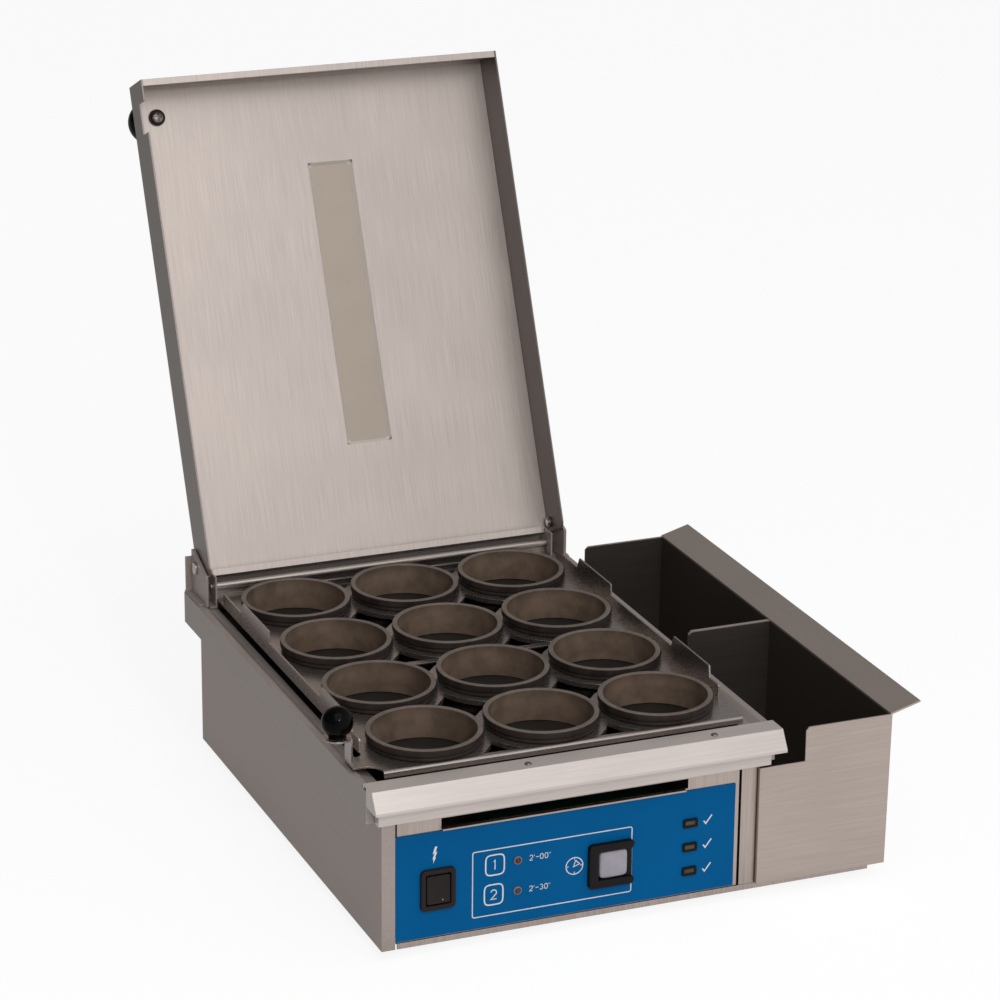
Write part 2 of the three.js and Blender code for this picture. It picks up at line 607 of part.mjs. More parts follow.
function griddlePlate() {
  const below = wallBottom - SEAT;
  const outer = OPENING.halfWidth + GRIDDLE.flange;
  const flange = block(
    -outer, outer, OPENING.front - GRIDDLE.flange, OPENING.back + GRIDDLE.flange, below - GRIDDLE.flangeThickness, below,
  );
  const edge = SHEET + GRIDDLE.edgeGap;
  const raised = block(
    -OPENING.halfWidth + edge, OPENING.halfWidth - edge, OPENING.front + edge, OPENING.back - edge,
    griddleTop - GRIDDLE.thickness, griddleTop,
  );
  return flange.add(raised);
}

const griddleUnderside = Math.min(griddleTop - GRIDDLE.thickness, wallBottom - SEAT - GRIDDLE.flangeThickness);
const outerRun = OPENING.halfWidth - ELEMENT.inset;

/** One tube bent to and fro under the griddle, its two ends pointing to the front. */
function heatingElement() {
  const z = griddleUnderside - SEAT - ELEMENT.radius;
  const { bend, radius, steps, sides, inner } = ELEMENT;
  const [a, b, c, d] = [-outerRun, -inner, inner, outerRun];
  const [front, back] = [OPENING.front + ELEMENT.frontInset, OPENING.back - ELEMENT.backInset];
  const points = [
    [a, front], [a, back - bend], [(a + b) / 2, back], [b, back - bend], [b, front + bend], [(b + c) / 2, front],
    [c, front + bend], [c, back - bend], [(c + d) / 2, back], [d, back - bend], [d, front],
  ].map(([x, y]) => new THREE.Vector3(x, y, z));
  const path = new THREE.CatmullRomCurve3(points, false, "centripetal");
  const ring = [];
  for (let i = 0; i < sides; i += 1) {
    const angle = (2 * Math.PI * i) / sides;
    ring.push([radius * Math.cos(angle), radius * Math.sin(angle)]);
  }
  return solid(new THREE.ExtrudeGeometry(shapeOf(ring), { steps, bevelEnabled: false, extrudePath: path }));
}

/** Open tray that hangs from the griddle's underside round the element. */
function heatShield() {
  const x = OPENING.halfWidth - SHIELD.sideInset;
  const [front, back] = [OPENING.front + SHIELD.frontInset, OPENING.back - SHIELD.backInset];
  const top = griddleUnderside - SEAT;
  const floor = top - SHIELD.depth;
  const hollow = block(-x + SHEET, x - SHEET, front + SHEET, back - SHEET, floor + SHEET, top + MARGIN);
  return block(-x, x, front, back, floor, top).subtract(hollow);
}

function thermostat() {
  const top = griddleUnderside - SEAT;
  const { radius, height, tabHalf, tabWidth, tabThickness } = THERMOSTAT;
  const [x, y] = [(outerRun + ELEMENT.inner) / 2, (OPENING.front + OPENING.back) / 2];
  const can = disc(radius, top - height, top).translate([x, y, 0]);
  return can.add(block(x - tabHalf, x + tabHalf, y - tabWidth / 2, y + tabWidth / 2, top - tabThickness, top));
}

// Hinge pieces

const stopTop = hingeZ + STOP.above;
const onLip = lipTop + SEAT;

/** Front face of the plate that the open lid leans on, just behind the lid at the plate's top edge. */
function stopFront() {
  const lean = THREE.MathUtils.degToRad(HINGE.openAngle - 90);
  return hingeY + (lidTop - hingeZ + STOP.above * Math.sin(lean)) / Math.cos(lean) + SEAT;
}

function hingeBracket(side) {
  const inner = lidHalf + BRACKET.gap;
  const outer = inner + BRACKET.thickness;
  const front = hingeY - BRACKET.front;
  const back = stopFront() - SEAT;
  const peak = hingeZ + BRACKET.peak;
  const cheek = runX(
    [[front, onLip], [back, onLip], [back, peak], [hingeY + BRACKET.peakBack, peak], [front, hingeZ + BRACKET.frontTop]],
    inner, outer,
  );
  const footPlate = block(inner, outer + BRACKET.foot, front + BRACKET.footBack, back, onLip, onLip + SHEET);
  const hole = rodX(HINGE.pinRadius + PIN_CLEARANCE, inner - MARGIN, outer + MARGIN, hingeY, hingeZ);
  const bracket = cheek.add(footPlate).subtract(hole);
  return side < 0 ? bracket.mirror([1, 0, 0]) : bracket;
}

function hingePin(side) {
  const outer = lidHalf + BRACKET.gap + BRACKET.thickness + SEAT;
  const inner = lidHalf - SHEET - SEAT - HINGE.clipThickness - HINGE.pinInside;
  const shank = rodX(HINGE.pinRadius, inner, outer + HINGE.headThickness / 2, hingeY, hingeZ);
  const head = rodX(HINGE.headRadius, outer, outer + HINGE.headThickness, hingeY, hingeZ);
  const pin = shank.add(head);
  return side < 0 ? pin.mirror([1, 0, 0]) : pin;
}

/** Ring that holds the pin inside the lid's wall. */
function hingeClip(side) {
  const x1 = lidHalf - SHEET - SEAT;
  const x0 = x1 - HINGE.clipThickness;
  const ring = rodX(HINGE.clipRadius, x0, x1, hingeY, hingeZ)
    .subtract(rodX(HINGE.pinRadius + PIN_CLEARANCE, x0 - MARGIN, x1 + MARGIN, hingeY, hingeZ));
  return side < 0 ? ring.mirror([1, 0, 0]) : ring;
}

function stopPlate() {
  const front = stopFront();
  const reach = OPENING.halfWidth + FRAME.skirt - STOP.sideInset;
  const angle = [[front, stopTop], [front, onLip], [front + STOP.foot, onLip]];
  return runX(bentSheet(angle, SHEET), -reach, reach);
}

// Lid

/** Turns a piece of the closed lid to where it rests open. */
function opened(manifold) {
  return manifold
    .translate([0, -hingeY, -hingeZ])
    .rotate([-HINGE.openAngle, 0, 0])
    .translate([0, hingeY, hingeZ]);
}

/** Block from (x0, y0) to (x1, y1) whose side walls slope inward by bevel on the way from z0 to z1. */
function bevelledBlock(x0, x1, y0, y1, z0, z1, bevel) {
  const level = (z, inset) => [
    [x0 + inset, y0 + inset, z], [x1 - inset, y0 + inset, z], [x1 - inset, y1 - inset, z], [x0 + inset, y1 - inset, z],
  ];
  const [low, high] = [level(z0, 0), level(z1, bevel)];
  const quad = (a, b, c, d) => [...a, ...b, ...c, ...a, ...c, ...d];
  const positions = [...quad(low[3], low[2], low[1], low[0]), ...quad(...high)];
  for (let side = 0; side < 4; side += 1) {
    const next = (side + 1) % 4;
    positions.push(...quad(low[side], low[next], high[next], high[side]));
  }
  return solid(fromPositions(positions));
}

function lidShell() {
  const inner = lidHalf - SHEET;
  const cut = lidHalf - LID.cornerCut;
  const rearRim = lidTop - LID.rearDepth;
  const pan = block(-lidHalf, lidHalf, lidFront, lidBack, lidRim, lidTop)
    .subtract(block(-inner, inner, lidFront + SHEET, lidBack - SHEET, lidRim - MARGIN, lidTop - SHEET))
    .subtract(block(-inner, inner, lidBack - 2 * SHEET, lidBack + MARGIN, lidRim - MARGIN, rearRim));
  const lips = [
    block(-inner, inner, lidFront, lidFront + LID.lip, lidRim, lidRim + SHEET),
    block(-cut, cut, lidBack - LID.lip, lidBack, rearRim, rearRim + SHEET),
  ];
  const [t0, t1] = [LID.troughOffset - LID.troughWidth / 2, LID.troughOffset + LID.troughWidth / 2];
  const [t2, t3] = [lidFront + LID.troughFront, lidBack - LID.troughBack];
  const pressing = bevelledBlock(t0, t1, t2, t3, lidTop - SHEET / 2, lidTop + LID.troughDepth, LID.troughBevel);
  const inPressing = bevelledBlock(
    t0 + SHEET, t1 - SHEET, t2 + SHEET, t3 - SHEET, lidTop - SHEET * 1.5, lidTop + LID.troughDepth - SHEET,
    LID.troughBevel,
  );
  const [n0, n1] = [rackFront + HANDLE.tongueFront - LID.notchGap, rackFront + HANDLE.stripBack + LID.notchGap * 2];
  const cornerNotch = (x0, x1) => block(x0, x1, lidBack - LID.lip, lidBack + MARGIN, lidRim - MARGIN, lidTop - SHEET);
  const corner = [
    [lidBack - LID.rearChamfer - MARGIN, lidRim - MARGIN], [lidBack + MARGIN, lidRim - MARGIN],
    [lidBack + MARGIN, lidRim + LID.rearChamfer + MARGIN],
  ];
  const cuts = [
    inPressing,
    runX(corner, -lidHalf - MARGIN, lidHalf + MARGIN),
    block(-lidHalf - MARGIN, -inner + MARGIN / 2, n0, n1, lidRim - MARGIN, lidRim + LID.notchDepth),
    cornerNotch(-inner, -cut),
    cornerNotch(cut, inner),
    rodX(HINGE.pinRadius + PIN_CLEARANCE, -lidHalf - MARGIN, lidHalf + MARGIN, hingeY, hingeZ),
    disc(SCREW.radius + SEAT, lidTop - MARGIN, lidTop + MARGIN).translate(lidKnobPlace(0)),
  ];
  return opened(without(joined([pan, ...lips, pressing]), cuts));
}

const lidKnobPlace = (z) => [-(lidHalf - LID.knobInset), lidFront + LID.knobBack, z];

/** Ball knob of the given radius standing up from z = 0, with a blind hole for its screw. */
function knob(radius) {
  const { neckRadius, neckHeight, arcSteps, boreRadius, boreDepth } = KNOB;
  const start = Math.asin(neckRadius / radius);
  const centre = neckHeight + radius * Math.cos(start);
  const profile = [[0, boreDepth], [boreRadius, boreDepth], [boreRadius, 0], [neckRadius, 0]];
  for (let i = 0; i <= arcSteps; i += 1) {
    const angle = start + ((Math.PI - start) * i) / arcSteps;
    profile.push([i === arcSteps ? 0 : radius * Math.sin(angle), centre - radius * Math.cos(angle)]);
  }
  return turned(profile, SMALL_SIDES);
}

const lidKnob = () => opened(knob(KNOB.lidRadius).translate(lidKnobPlace(lidTop + SEAT)));

/** Pan-head screw pointing up, its head below z = 0. */
function panScrew(length) {
  const { radius, headRadius, headHeight, slotWidth, slotDepth } = SCREW;
  const body = turned([
    [0, -headHeight], [(radius + headRadius) / 2, -headHeight], [headRadius, -headHeight / 2], [headRadius, 0],
    [radius, 0], [radius, length], [0, length],
  ], SMALL_SIDES);
  const slot = block(
    -headRadius, headRadius, -slotWidth / 2, slotWidth / 2, -headHeight - MARGIN, -headHeight + slotDepth,
  );
  return body.subtract(slot);
}

const lidKnobScrew = () => opened(panScrew(KNOB.boreDepth).translate(lidKnobPlace(lidTop - 2 * SHEET - 2 * SEAT)));

/** Dark washer under the screw's head, inside the lid. */
function lidKnobWasher() {
  const top = lidTop - SHEET - SEAT;
  const washer = disc(LID.washerRadius, top - SHEET, top, ROUND_SIDES)
    .subtract(disc(SCREW.radius + SEAT, top - MARGIN, top + MARGIN));
  return opened(washer.translate(lidKnobPlace(0)));
}

// Ring rack

const ringCentre = (r, c) => [(c - (RING.columns + 1) / 2) * column, frontRow + (RING.rows - r) * row];

function everyRing(make) {
  const made = [];
  for (let r = 1; r <= RING.rows; r += 1) {
    for (let c = 1; c <= RING.columns; c += 1) made.push(make(r, c));
  }
  return made;
}

/**
 * Ring turned about its axis: a shoulder rests on the rack's hole, a rim stands above and a clip hangs at
 * its side.
 */
function eggRing(r, c) {
  const top = ringBottom + RING.height;
  const shoulder = rackTop + SEAT;
  const rimBottom = top - RING.rimHeight;
  const profile = [
    [RING.boreBottom, ringBottom], [RING.lowerRadius, ringBottom], [RING.lowerRadius, shoulder],
    [RING.upperRadius, shoulder], [RING.upperRadius, rimBottom], [RING.rimRadius, rimBottom],
    [RING.rimRadius, top - RING.rimChamfer], [RING.rimRadius - RING.rimChamfer, top], [RING.boreTop, top],
    [RING.boreBottom, ringBottom],
  ];
  const clip = block(
    RING.upperRadius - RING.clipThickness / 2, RING.rimRadius + RING.clipThickness, -RING.clipWidth / 2,
    RING.clipWidth / 2, rimBottom - RING.clipHeight, rimBottom + RING.rimChamfer,
  ).rotate([0, 0, RING.clipAngle]);
  return turned(profile, ROUND_SIDES).add(clip).translate([...ringCentre(r, c), 0]);
}

/**
 * Four-cornered opening between four rings: hollow sides that keep a web round each ring, widened by grow.
 */
function openingBetweenRings(grow) {
  const [a, b] = [column / 2, row / 2];
  const tip = { angle: Math.atan2(RACK.neckAcross, a), radius: Math.hypot(a, RACK.neckAcross) };
  const side = { angle: Math.atan2(b, RACK.neckAlong), radius: Math.hypot(b, RACK.neckAlong) };
  const quarter = [];
  for (let i = 0; i <= RACK.arcSteps; i += 1) {
    const t = i / RACK.arcSteps;
    const angle = tip.angle + (side.angle - tip.angle) * t;
    const radius = tip.radius + (side.radius - tip.radius) * t - grow;
    quarter.push([Math.max(a - radius * Math.cos(angle), 0), Math.max(b - radius * Math.sin(angle), 0)]);
  }
  const turn = (points, sx, sy) => points.map(([x, y]) => [sx * x, sy * y]);
  const back = [...quarter].reverse();
  const outline = [...back, ...turn(quarter, -1, 1), ...turn(back, -1, -1), ...turn(quarter, 1, -1)];
  return outline.filter(([x, y], i) => {
    const [px, py] = outline[(i + outline.length - 1) % outline.length];
    return Math.hypot(x - px, y - py) > PIN_CLEARANCE;
  });
}

/**
 * Centres of the openings; those in front of the first row and behind the last are cut short by the
 * plate's borders.
 */
function rackOpenings() {
  const places = [];
  for (let c = 1; c < RING.columns; c += 1) {
    for (let r = 0; r <= RING.rows; r += 1) {
      places.push([(c - RING.columns / 2) * column, frontRow + (RING.rows - r - 1 / 2) * row]);
    }
  }
  return places;
}

/** Points of an arc about (x, y), angles in degrees. */
function arc(x, y, radius, from, to) {
  const points = [];
  for (let i = 0; i <= RACK.arcSteps; i += 1) {
    const angle = THREE.MathUtils.degToRad(from + ((to - from) * i) / RACK.arcSteps);
    points.push([x + radius * Math.cos(angle), y + radius * Math.sin(angle)]);
  }
  return points;
}

// The handle's tongue, which leaves the plate's left edge near the front
const tongueFront = rackFront + HANDLE.tongueFront;
const [stripFront, stripBack] = [rackFront + HANDLE.stripFront, rackFront + HANDLE.stripBack];
const handleX = -(rackHalf + HANDLE.reach);

function rackOutline() {
  const { notchRadius, innerRadius } = HANDLE;
  return [
    [rackHalf, rackFront + RACK.frontBend], [rackHalf, rackBack], [-rackHalf, rackBack],
    ...arc(-rackHalf - innerRadius, stripBack + innerRadius, innerRadius, 0, -90), [handleX + SHEET, stripBack],
    [handleX + SHEET, tongueFront],
    ...arc(-rackHalf + RACK.tabSlope - notchRadius, tongueFront - notchRadius, notchRadius, 90, 0),
    [-rackHalf + RACK.tabSlope, rackFront + RACK.frontBend],
  ];
}

/** Flat plate with turned-down edges round the openings between the rings. */
function rackPlate() {
  const bottom = rackTop - SHEET;
  const fieldOf = (grow) => block(
    -rackHalf, rackHalf, rackFront + RACK.frontBorder - grow, rackBack - RACK.border + grow, bottom - MARGIN * 2,
    rackTop + MARGIN,
  );
  const openings = (grow, z0, z1) => rackOpenings().map(([x, y]) =>
    raise(openingBetweenRings(grow), z0, z1).translate([x, y, 0]).intersect(fieldOf(grow)));
  const lips = openings(SHEET, bottom - RACK.lipDepth, rackTop - SHEET / 2);
  const cuts = openings(0, bottom - MARGIN, rackTop + MARGIN);
  const bridgeY = frontRow + (RING.rows / 2 - 1 / 2) * row;
  const bridge = block(-column, column, bridgeY - RACK.bridge / 2, bridgeY + RACK.bridge / 2, bottom, rackTop);
  return without(joined([raise(rackOutline(), bottom, rackTop), ...lips]), cuts).add(bridge);
}

const ringHoles = () => everyRing((r, c) =>
  disc(RING.lowerRadius + RACK.holeClearance, rackTop - RACK.noseDrop - MARGIN, rackTop + MARGIN, ROUND_SIDES)
    .translate([...ringCentre(r, c), 0]));

/** Upright side of the rack: a low flange with two raised tabs. */
function rackSideFlange() {
  const base = rackTop - SHEET;
  const low = rackTop + RACK.flange;
  const high = rackTop + RACK.tab;
  const start = rackFront + RACK.flangeStart;
  const frontTab = rackFront + RACK.frontTabStart;
  const frontTabEnd = frontTab + RACK.frontTabLength;
  const backTabEnd = rackBack - RACK.backTabEnd;
  const backTab = backTabEnd - RACK.backTabLength;
  const end = rackBack - RACK.flangeEnd;
  return [
    [start, base], [end, base], [end, low - SHEET], [end - SHEET, low],
    [backTabEnd + RACK.tabSlope, low], [backTabEnd, high], [backTab, high], [backTab - SHEET, low],
    [frontTabEnd + RACK.tabSlope, low], [frontTabEnd, high], [frontTab, high], [frontTab - SHEET, low],
    [start + SHEET, low], [start, low - SHEET],
  ];
}

/** Strip that rises from the tongue beside the lid and carries the knob on a round tab. */
function rackHandle() {
  const tabTop = rackTop + HANDLE.height;
  const knobX = -(rackHalf + HANDLE.knobOut);
  const knobY = rackFront + HANDLE.knobBack;
  const strip = block(handleX, handleX + SHEET, stripFront, stripBack, rackTop - SHEET, tabTop);
  const tab = disc(HANDLE.tabRadius, tabTop - SHEET, tabTop).translate([knobX, knobY, 0]);
  const hole = disc(SCREW.radius + SEAT, tabTop - MARGIN, tabTop + MARGIN).translate([knobX, knobY, 0]);
  const foot = block(handleX, handleX + SHEET * 2, tongueFront, stripBack, rackTop - SHEET, rackTop);
  return joined([strip, foot, tab]).subtract(hole);
}

function ringRack() {
  const sides = [-1, 1].map((side) => {
    const flange = runX(rackSideFlange(), rackHalf - SHEET, rackHalf);
    return side < 0 ? flange.mirror([1, 0, 0]) : flange;
  });
  const bend = RACK.frontBend;
  const nosePath = [
    [rackFront + bend + SHEET, rackTop], ...arc(rackFront + bend, rackTop - bend, bend, 90, 180),
    [rackFront, rackTop - RACK.noseDrop],
  ];
  const nose = runX(bentSheet(nosePath, SHEET), -rackHalf + RACK.tabSlope, rackHalf);
  return without(joined([rackPlate(), ...sides, nose, rearRoll(), rackHandle()]), ringHoles());
}

/** Rear edge of the rack, turned up and rolled round the rod. */
function rearRoll() {
  const bore = ROD.radius + PIN_CLEARANCE;
  const upright = block(-rackHalf, rackHalf, rackBack - SHEET, rackBack, rackTop - SHEET, rodZ);
  const roll = rodX(bore + SHEET, -rackHalf, rackHalf, rodBack, rodZ);
  return upright.add(roll).subtract(rodX(bore, -rackHalf - MARGIN, rackHalf + MARGIN, rodBack, rodZ));
}

const rackKnob = () => knob(KNOB.rackRadius).translate([
  -(rackHalf + HANDLE.knobOut), rackFront + HANDLE.knobBack, rackTop + HANDLE.height + SEAT,
]);

/** Rod on which the rack turns, its ends headed outside the lugs. */
function rackRod() {
  const reach = lugInner + SHEET + SEAT;
  const heads = [-1, 1].map((side) => {
    const head = rodX(ROD.head, reach, reach + ROD.headLength, rodBack, rodZ);
    return side < 0 ? head.mirror([1, 0, 0]) : head;
  });
  return joined([rodX(ROD.radius, -reach - ROD.headLength / 2, reach + ROD.headLength / 2, rodBack, rodZ), ...heads]);
}

/** Lug that carries one end of the rod, its foot on the frame's ledge. */
function rackLug(side) {
  const outer = lugInner + SHEET + LUG.foot;
  const ledgeWidth = FRAME.skirt - FRAME.lipWidth - FRAME.slopeWidth;
  const ledge = wallTop + (FRAME.ledgeDrop * (outer - OPENING.halfWidth)) / ledgeWidth;
  const foot = ledge + SEAT;
  const [front, back] = [rodBack - LUG.front, rodBack + LUG.back];
  const plate = block(lugInner, lugInner + SHEET, front, back, foot, rodZ + LUG.above);
  const footPlate = block(lugInner, outer, front, back, foot, foot + SHEET);
  const hole = rodX(ROD.radius + PIN_CLEARANCE, lugInner - MARGIN, outer + MARGIN, rodBack, rodZ);
  const lug = plate.add(footPlate).subtract(hole);
  return side < 0 ? lug.mirror([1, 0, 0]) : lug;
}

// Bins

/**
 * Open bin bent from one sheet, its left wall ending under the skirt, its right wall flared into a sloping
 * flange.
 */
function bin(front, back) {
  const left = cabinetHalf + BIN.gap;
  const bottom = BASE.top + SEAT;
  const top = bottom + BIN.height;
  const leftTop = PANEL.height - BIN.belowSkirt;
  const floorRight = left + BIN.floorWidth;
  const right = floorRight + BIN.lean;
  const notch = left + BIN.notchWidth;
  const path = [
    [left, leftTop], [left, bottom], [floorRight, bottom], [right, top], [right + BIN.flangeWidth, top + BIN.flangeRise],
  ];
  const end = [
    [left, bottom], [floorRight, bottom], [right, top], [notch + BIN.corner, top], [notch, top - BIN.corner],
    [notch, leftTop], [left, leftTop],
  ];
  return joined([
    runY(bentSheet(path, SHEET), front, back), runY(end, front, front + SHEET), runY(end, back - SHEET, back),
  ]);
}

const binSeam = BIN.frontLength - BIN.proud;
const frontBin = () => bin(-BIN.proud, binSeam - BIN.between / 2);
const rearBin = () => bin(binSeam + BIN.between / 2, cabinetDepth - BIN.rearInset);

// Assembly

function pieces() {
  const x = cabinetHalf - FOOT.inset;
  const rear = cabinetDepth - FOOT.inset;
  const [upper, middle, lower] = lampHeights;
  return [
    piece("base_pan", basePan(), "brushedSteel"),
    piece("foot_front_left", foot(-x, FOOT.inset), "rubber"),
    piece("foot_front_right", foot(x, FOOT.inset), "rubber"),
    piece("foot_rear_left", foot(-x, rear), "rubber"),
    piece("foot_rear_right", foot(x, rear), "rubber"),
    piece("left_side_panel", sidePanel(-1), "shadedSteel"),
    piece("right_side_panel", sidePanel(1), "brushedSteel"),
    piece("rear_panel", rearPanel(), "brushedSteel"),
    piece("cord_gland", cordGland(), "darkPlastic"),
    piece("front_panel", frontPanel(), "brushedSteel"),
    piece("control_overlay", controlOverlay(), "blueFilm"),
    piece("switch_bezel", switchBezel(), "darkPlastic"),
    piece("switch_rocker", switchRocker(), "blackPlastic"),
    piece("timer_key_guard", timerGuard(), "blackPlastic"),
    piece("timer_key", timerKey(), "greyPlastic"),
    piece("lamp_upper", lamp(upper), "lampLens"),
    piece("lamp_middle", lamp(middle), "lampLens"),
    piece("lamp_lower", lamp(lower), "lampLens"),
    piece("led_upper", led(upperLed), "ledLens"),
    piece("led_lower", led(lowerLed), "ledLens"),
    piece("control_board", controlBoard(), "circuitBoard"),
    piece("relay_left", relay(0), "darkPlastic"),
    piece("relay_right", relay(1), "darkPlastic"),
    piece("terminal_block", terminalBlock(), "greyPlastic"),
    piece("top_frame", topFrame(), "shadedSteel"),
    piece("front_rail", frontRail(), "polishedSteel"),
    piece("griddle_plate", griddlePlate(), "castAluminium"),
    piece("heating_element", heatingElement(), "heaterTube"),
    piece("heat_shield", heatShield(), "brushedSteel"),
    piece("thermostat", thermostat(), "greyPlastic"),
    piece("hinge_bracket_left", hingeBracket(-1), "shadedSteel"),
    piece("hinge_bracket_right", hingeBracket(1), "shadedSteel"),
    piece("hinge_pin_left", hingePin(-1), "polishedSteel"),
    piece("hinge_pin_right", hingePin(1), "polishedSteel"),
    piece("hinge_clip_left", hingeClip(-1), "shadedSteel"),
    piece("hinge_clip_right", hingeClip(1), "shadedSteel"),
    piece("lid_stop_plate", stopPlate(), "shadedSteel"),
    piece("lid_shell", lidShell(), "lidSteel"),
    piece("lid_knob", lidKnob(), "blackPlastic"),
    piece("lid_knob_washer", lidKnobWasher(), "darkPlastic"),
    piece("lid_knob_screw", lidKnobScrew(), "polishedSteel"),
    piece("ring_rack", ringRack(), "shadedSteel"),
    piece("rack_rod", rackRod(), "polishedSteel"),
    piece("rack_lug_left", rackLug(-1), "shadedSteel"),
    piece("rack_lug_right", rackLug(1), "shadedSteel"),
    piece("rack_knob", rackKnob(), "blackPlastic"),
    ...everyRing((r, c) => piece(`egg_ring_${r}${c}`, eggRing(r, c), "nonStick")),
    piece("bin_front", frontBin(), "brushedSteel"),
    piece("bin_rear", rearBin(), "brushedSteel"),
  ];
}

/** Moves every piece so that the zero point is the middle of the object's outline at floor level. */
function placeOnFloor(root) {
  const bounds = new THREE.Box3().setFromObject(root);
  const centre = bounds.getCenter(new THREE.Vector3());
  for (const mesh of root.children) mesh.geometry.translate(-centre.x, -centre.y, -bounds.min.z);
}

function build() {
  const root = new THREE.Group();
  root.name = "egg_cooker";
  root.add(...pieces());
  placeOnFloor(root);
  return root;
}

export default build();
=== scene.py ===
# %% [markdown]
# # A countertop egg cooker
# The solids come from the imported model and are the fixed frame. This script gives each of them its
# finish, and adds the pieces whose roundness and print a plain solid is too coarse for.

import math

import bmesh
import bpy
import numpy as np
from mathutils import Matrix, Vector


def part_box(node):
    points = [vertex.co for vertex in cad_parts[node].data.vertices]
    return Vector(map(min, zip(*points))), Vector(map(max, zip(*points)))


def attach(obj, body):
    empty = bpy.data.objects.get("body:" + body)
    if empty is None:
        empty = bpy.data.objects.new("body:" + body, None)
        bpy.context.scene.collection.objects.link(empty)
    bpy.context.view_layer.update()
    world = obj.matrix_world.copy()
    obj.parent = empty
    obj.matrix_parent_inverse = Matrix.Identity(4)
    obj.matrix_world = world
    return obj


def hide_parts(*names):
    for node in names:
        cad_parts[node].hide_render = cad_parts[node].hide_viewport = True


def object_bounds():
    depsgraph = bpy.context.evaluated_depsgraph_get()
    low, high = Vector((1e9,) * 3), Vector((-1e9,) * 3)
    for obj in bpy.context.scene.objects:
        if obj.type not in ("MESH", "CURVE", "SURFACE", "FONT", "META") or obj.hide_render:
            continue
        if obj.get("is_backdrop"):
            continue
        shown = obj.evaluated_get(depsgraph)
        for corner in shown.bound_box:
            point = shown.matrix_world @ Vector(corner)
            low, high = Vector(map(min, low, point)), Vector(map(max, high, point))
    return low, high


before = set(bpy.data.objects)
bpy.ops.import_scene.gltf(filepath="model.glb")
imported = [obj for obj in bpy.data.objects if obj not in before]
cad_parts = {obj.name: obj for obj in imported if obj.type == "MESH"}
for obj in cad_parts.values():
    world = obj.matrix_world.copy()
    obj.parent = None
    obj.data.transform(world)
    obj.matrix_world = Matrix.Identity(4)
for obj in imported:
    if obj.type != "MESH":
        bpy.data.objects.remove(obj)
cad_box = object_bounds()

# %% [markdown]
# Lengths are in millimetres, and one factor turns them to metres. `corner` is where the cabinet's left
# side, front and bottom meet: the camera and the printed panel were measured from there.

# %% Units and the cabinet's corner
MM = 0.001
corner = np.array(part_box("left_side_panel")[0])
cabinet_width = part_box("right_side_panel")[1][0] - corner[0]
print("corner", corner.round(4), "cabinet width", round(cabinet_width, 4))


def at(x, y, z):
    """Point given in millimetres from the cabinet's front left bottom corner."""
    return corner + np.array([x, y, z]) * MM


def on_panel(node):
    """Middle of a node's box across and up, in millimetres from the corner."""
    low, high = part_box(node)
    middle = (np.array(low) + np.array(high)) / 2
    return ((middle - corner) / MM)[[0, 2]]


# %% [markdown]
# The camera stands where the photographer's stood: left of the cabinet, three metres off, and turned
# down by 19.6 degrees. The three axes of the camera are built from azimuth, elevation and roll.

# %% Camera
AZIMUTH, ELEVATION, ROLL = math.radians(-22.402), math.radians(19.593), math.radians(0.565)
EYE = at(-967.59, -2592.58, 1379.30)
FOCAL, PICTURE = 3739.24, 1000  # focal length and width of the picture, in pixels
SENSOR = 36  # millimetres
FARTHEST = 50  # metres, past all of the floor that shows

back = Vector((
    math.sin(AZIMUTH) * math.cos(ELEVATION), -math.cos(AZIMUTH) * math.cos(ELEVATION), math.sin(ELEVATION),
))
level = Vector((math.cos(AZIMUTH), math.sin(AZIMUTH), 0))
upright = back.cross(level)
right = math.cos(ROLL) * level + math.sin(ROLL) * upright
up = math.cos(ROLL) * upright - math.sin(ROLL) * level
camera = bpy.data.objects.new("camera", bpy.data.cameras.new("camera"))
camera.data.sensor_width = SENSOR
camera.data.lens = FOCAL * camera.data.sensor_width / PICTURE
camera.data.clip_end = FARTHEST
rotation = Matrix((right, up, back)).transposed().to_4x4()
camera.matrix_world = Matrix.Translation(Vector(EYE)) @ rotation
bpy.context.scene.collection.objects.link(camera)
bpy.context.scene.camera = camera
print("lens", round(camera.data.lens, 1), "mm")

# %% [markdown]
# Every shader is made of nodes. One function adds a node and fills its inputs. Colours are written as
# the hex values that a picture shows, and `linear` turns them to the values that Blender works in.

# %% Node helper and colours


def fill(tree, node, inputs):
    """Sets a node's inputs, by name or number, to values or to other nodes' outputs."""
    for key, value in inputs.items():
        socket = node.inputs[key]
        if isinstance(value, bpy.types.NodeSocket):
            tree.links.new(value, socket)
        else:
            socket.default_value = value


def add_node(tree, kind, inputs=None, **settings):
    """Adds one shader node; its settings are made before its inputs are filled."""
    node = tree.nodes.new("ShaderNode" + kind)
    for name, value in settings.items():
        setattr(node, name, value)
    fill(tree, node, inputs or {})
    return node


def linear(hex_colour):
    """sRGB hex value to linear RGBA: small values are divided, the others follow a power of 2.4."""
    channels = [(hex_colour >> shift & 255) / 255 for shift in (16, 8, 0)]
    return [c / 12.92 if c <= 0.04045 else ((c + 0.055) / 1.055) ** 2.4 for c in channels] + [1.0]


def new_material(name, **sockets):
    """A material with one Principled shader, whose constant values are set on its own sockets."""
    material = bpy.data.materials.new(name)
    material.use_nodes = True
    tree = material.node_tree
    shader = tree.nodes["Principled BSDF"]
    fill(tree, shader, {key.replace("_", " "): value for key, value in sockets.items()})
    return material, tree, shader


def mixed(tree, factor, low, high):
    """A mix of two colours: socket 0 is the factor, 6 and 7 are the colours, and output 2 is the mix."""
    return add_node(tree, "Mix", {0: factor, 6: low, 7: high}, data_type="RGBA").outputs[2]


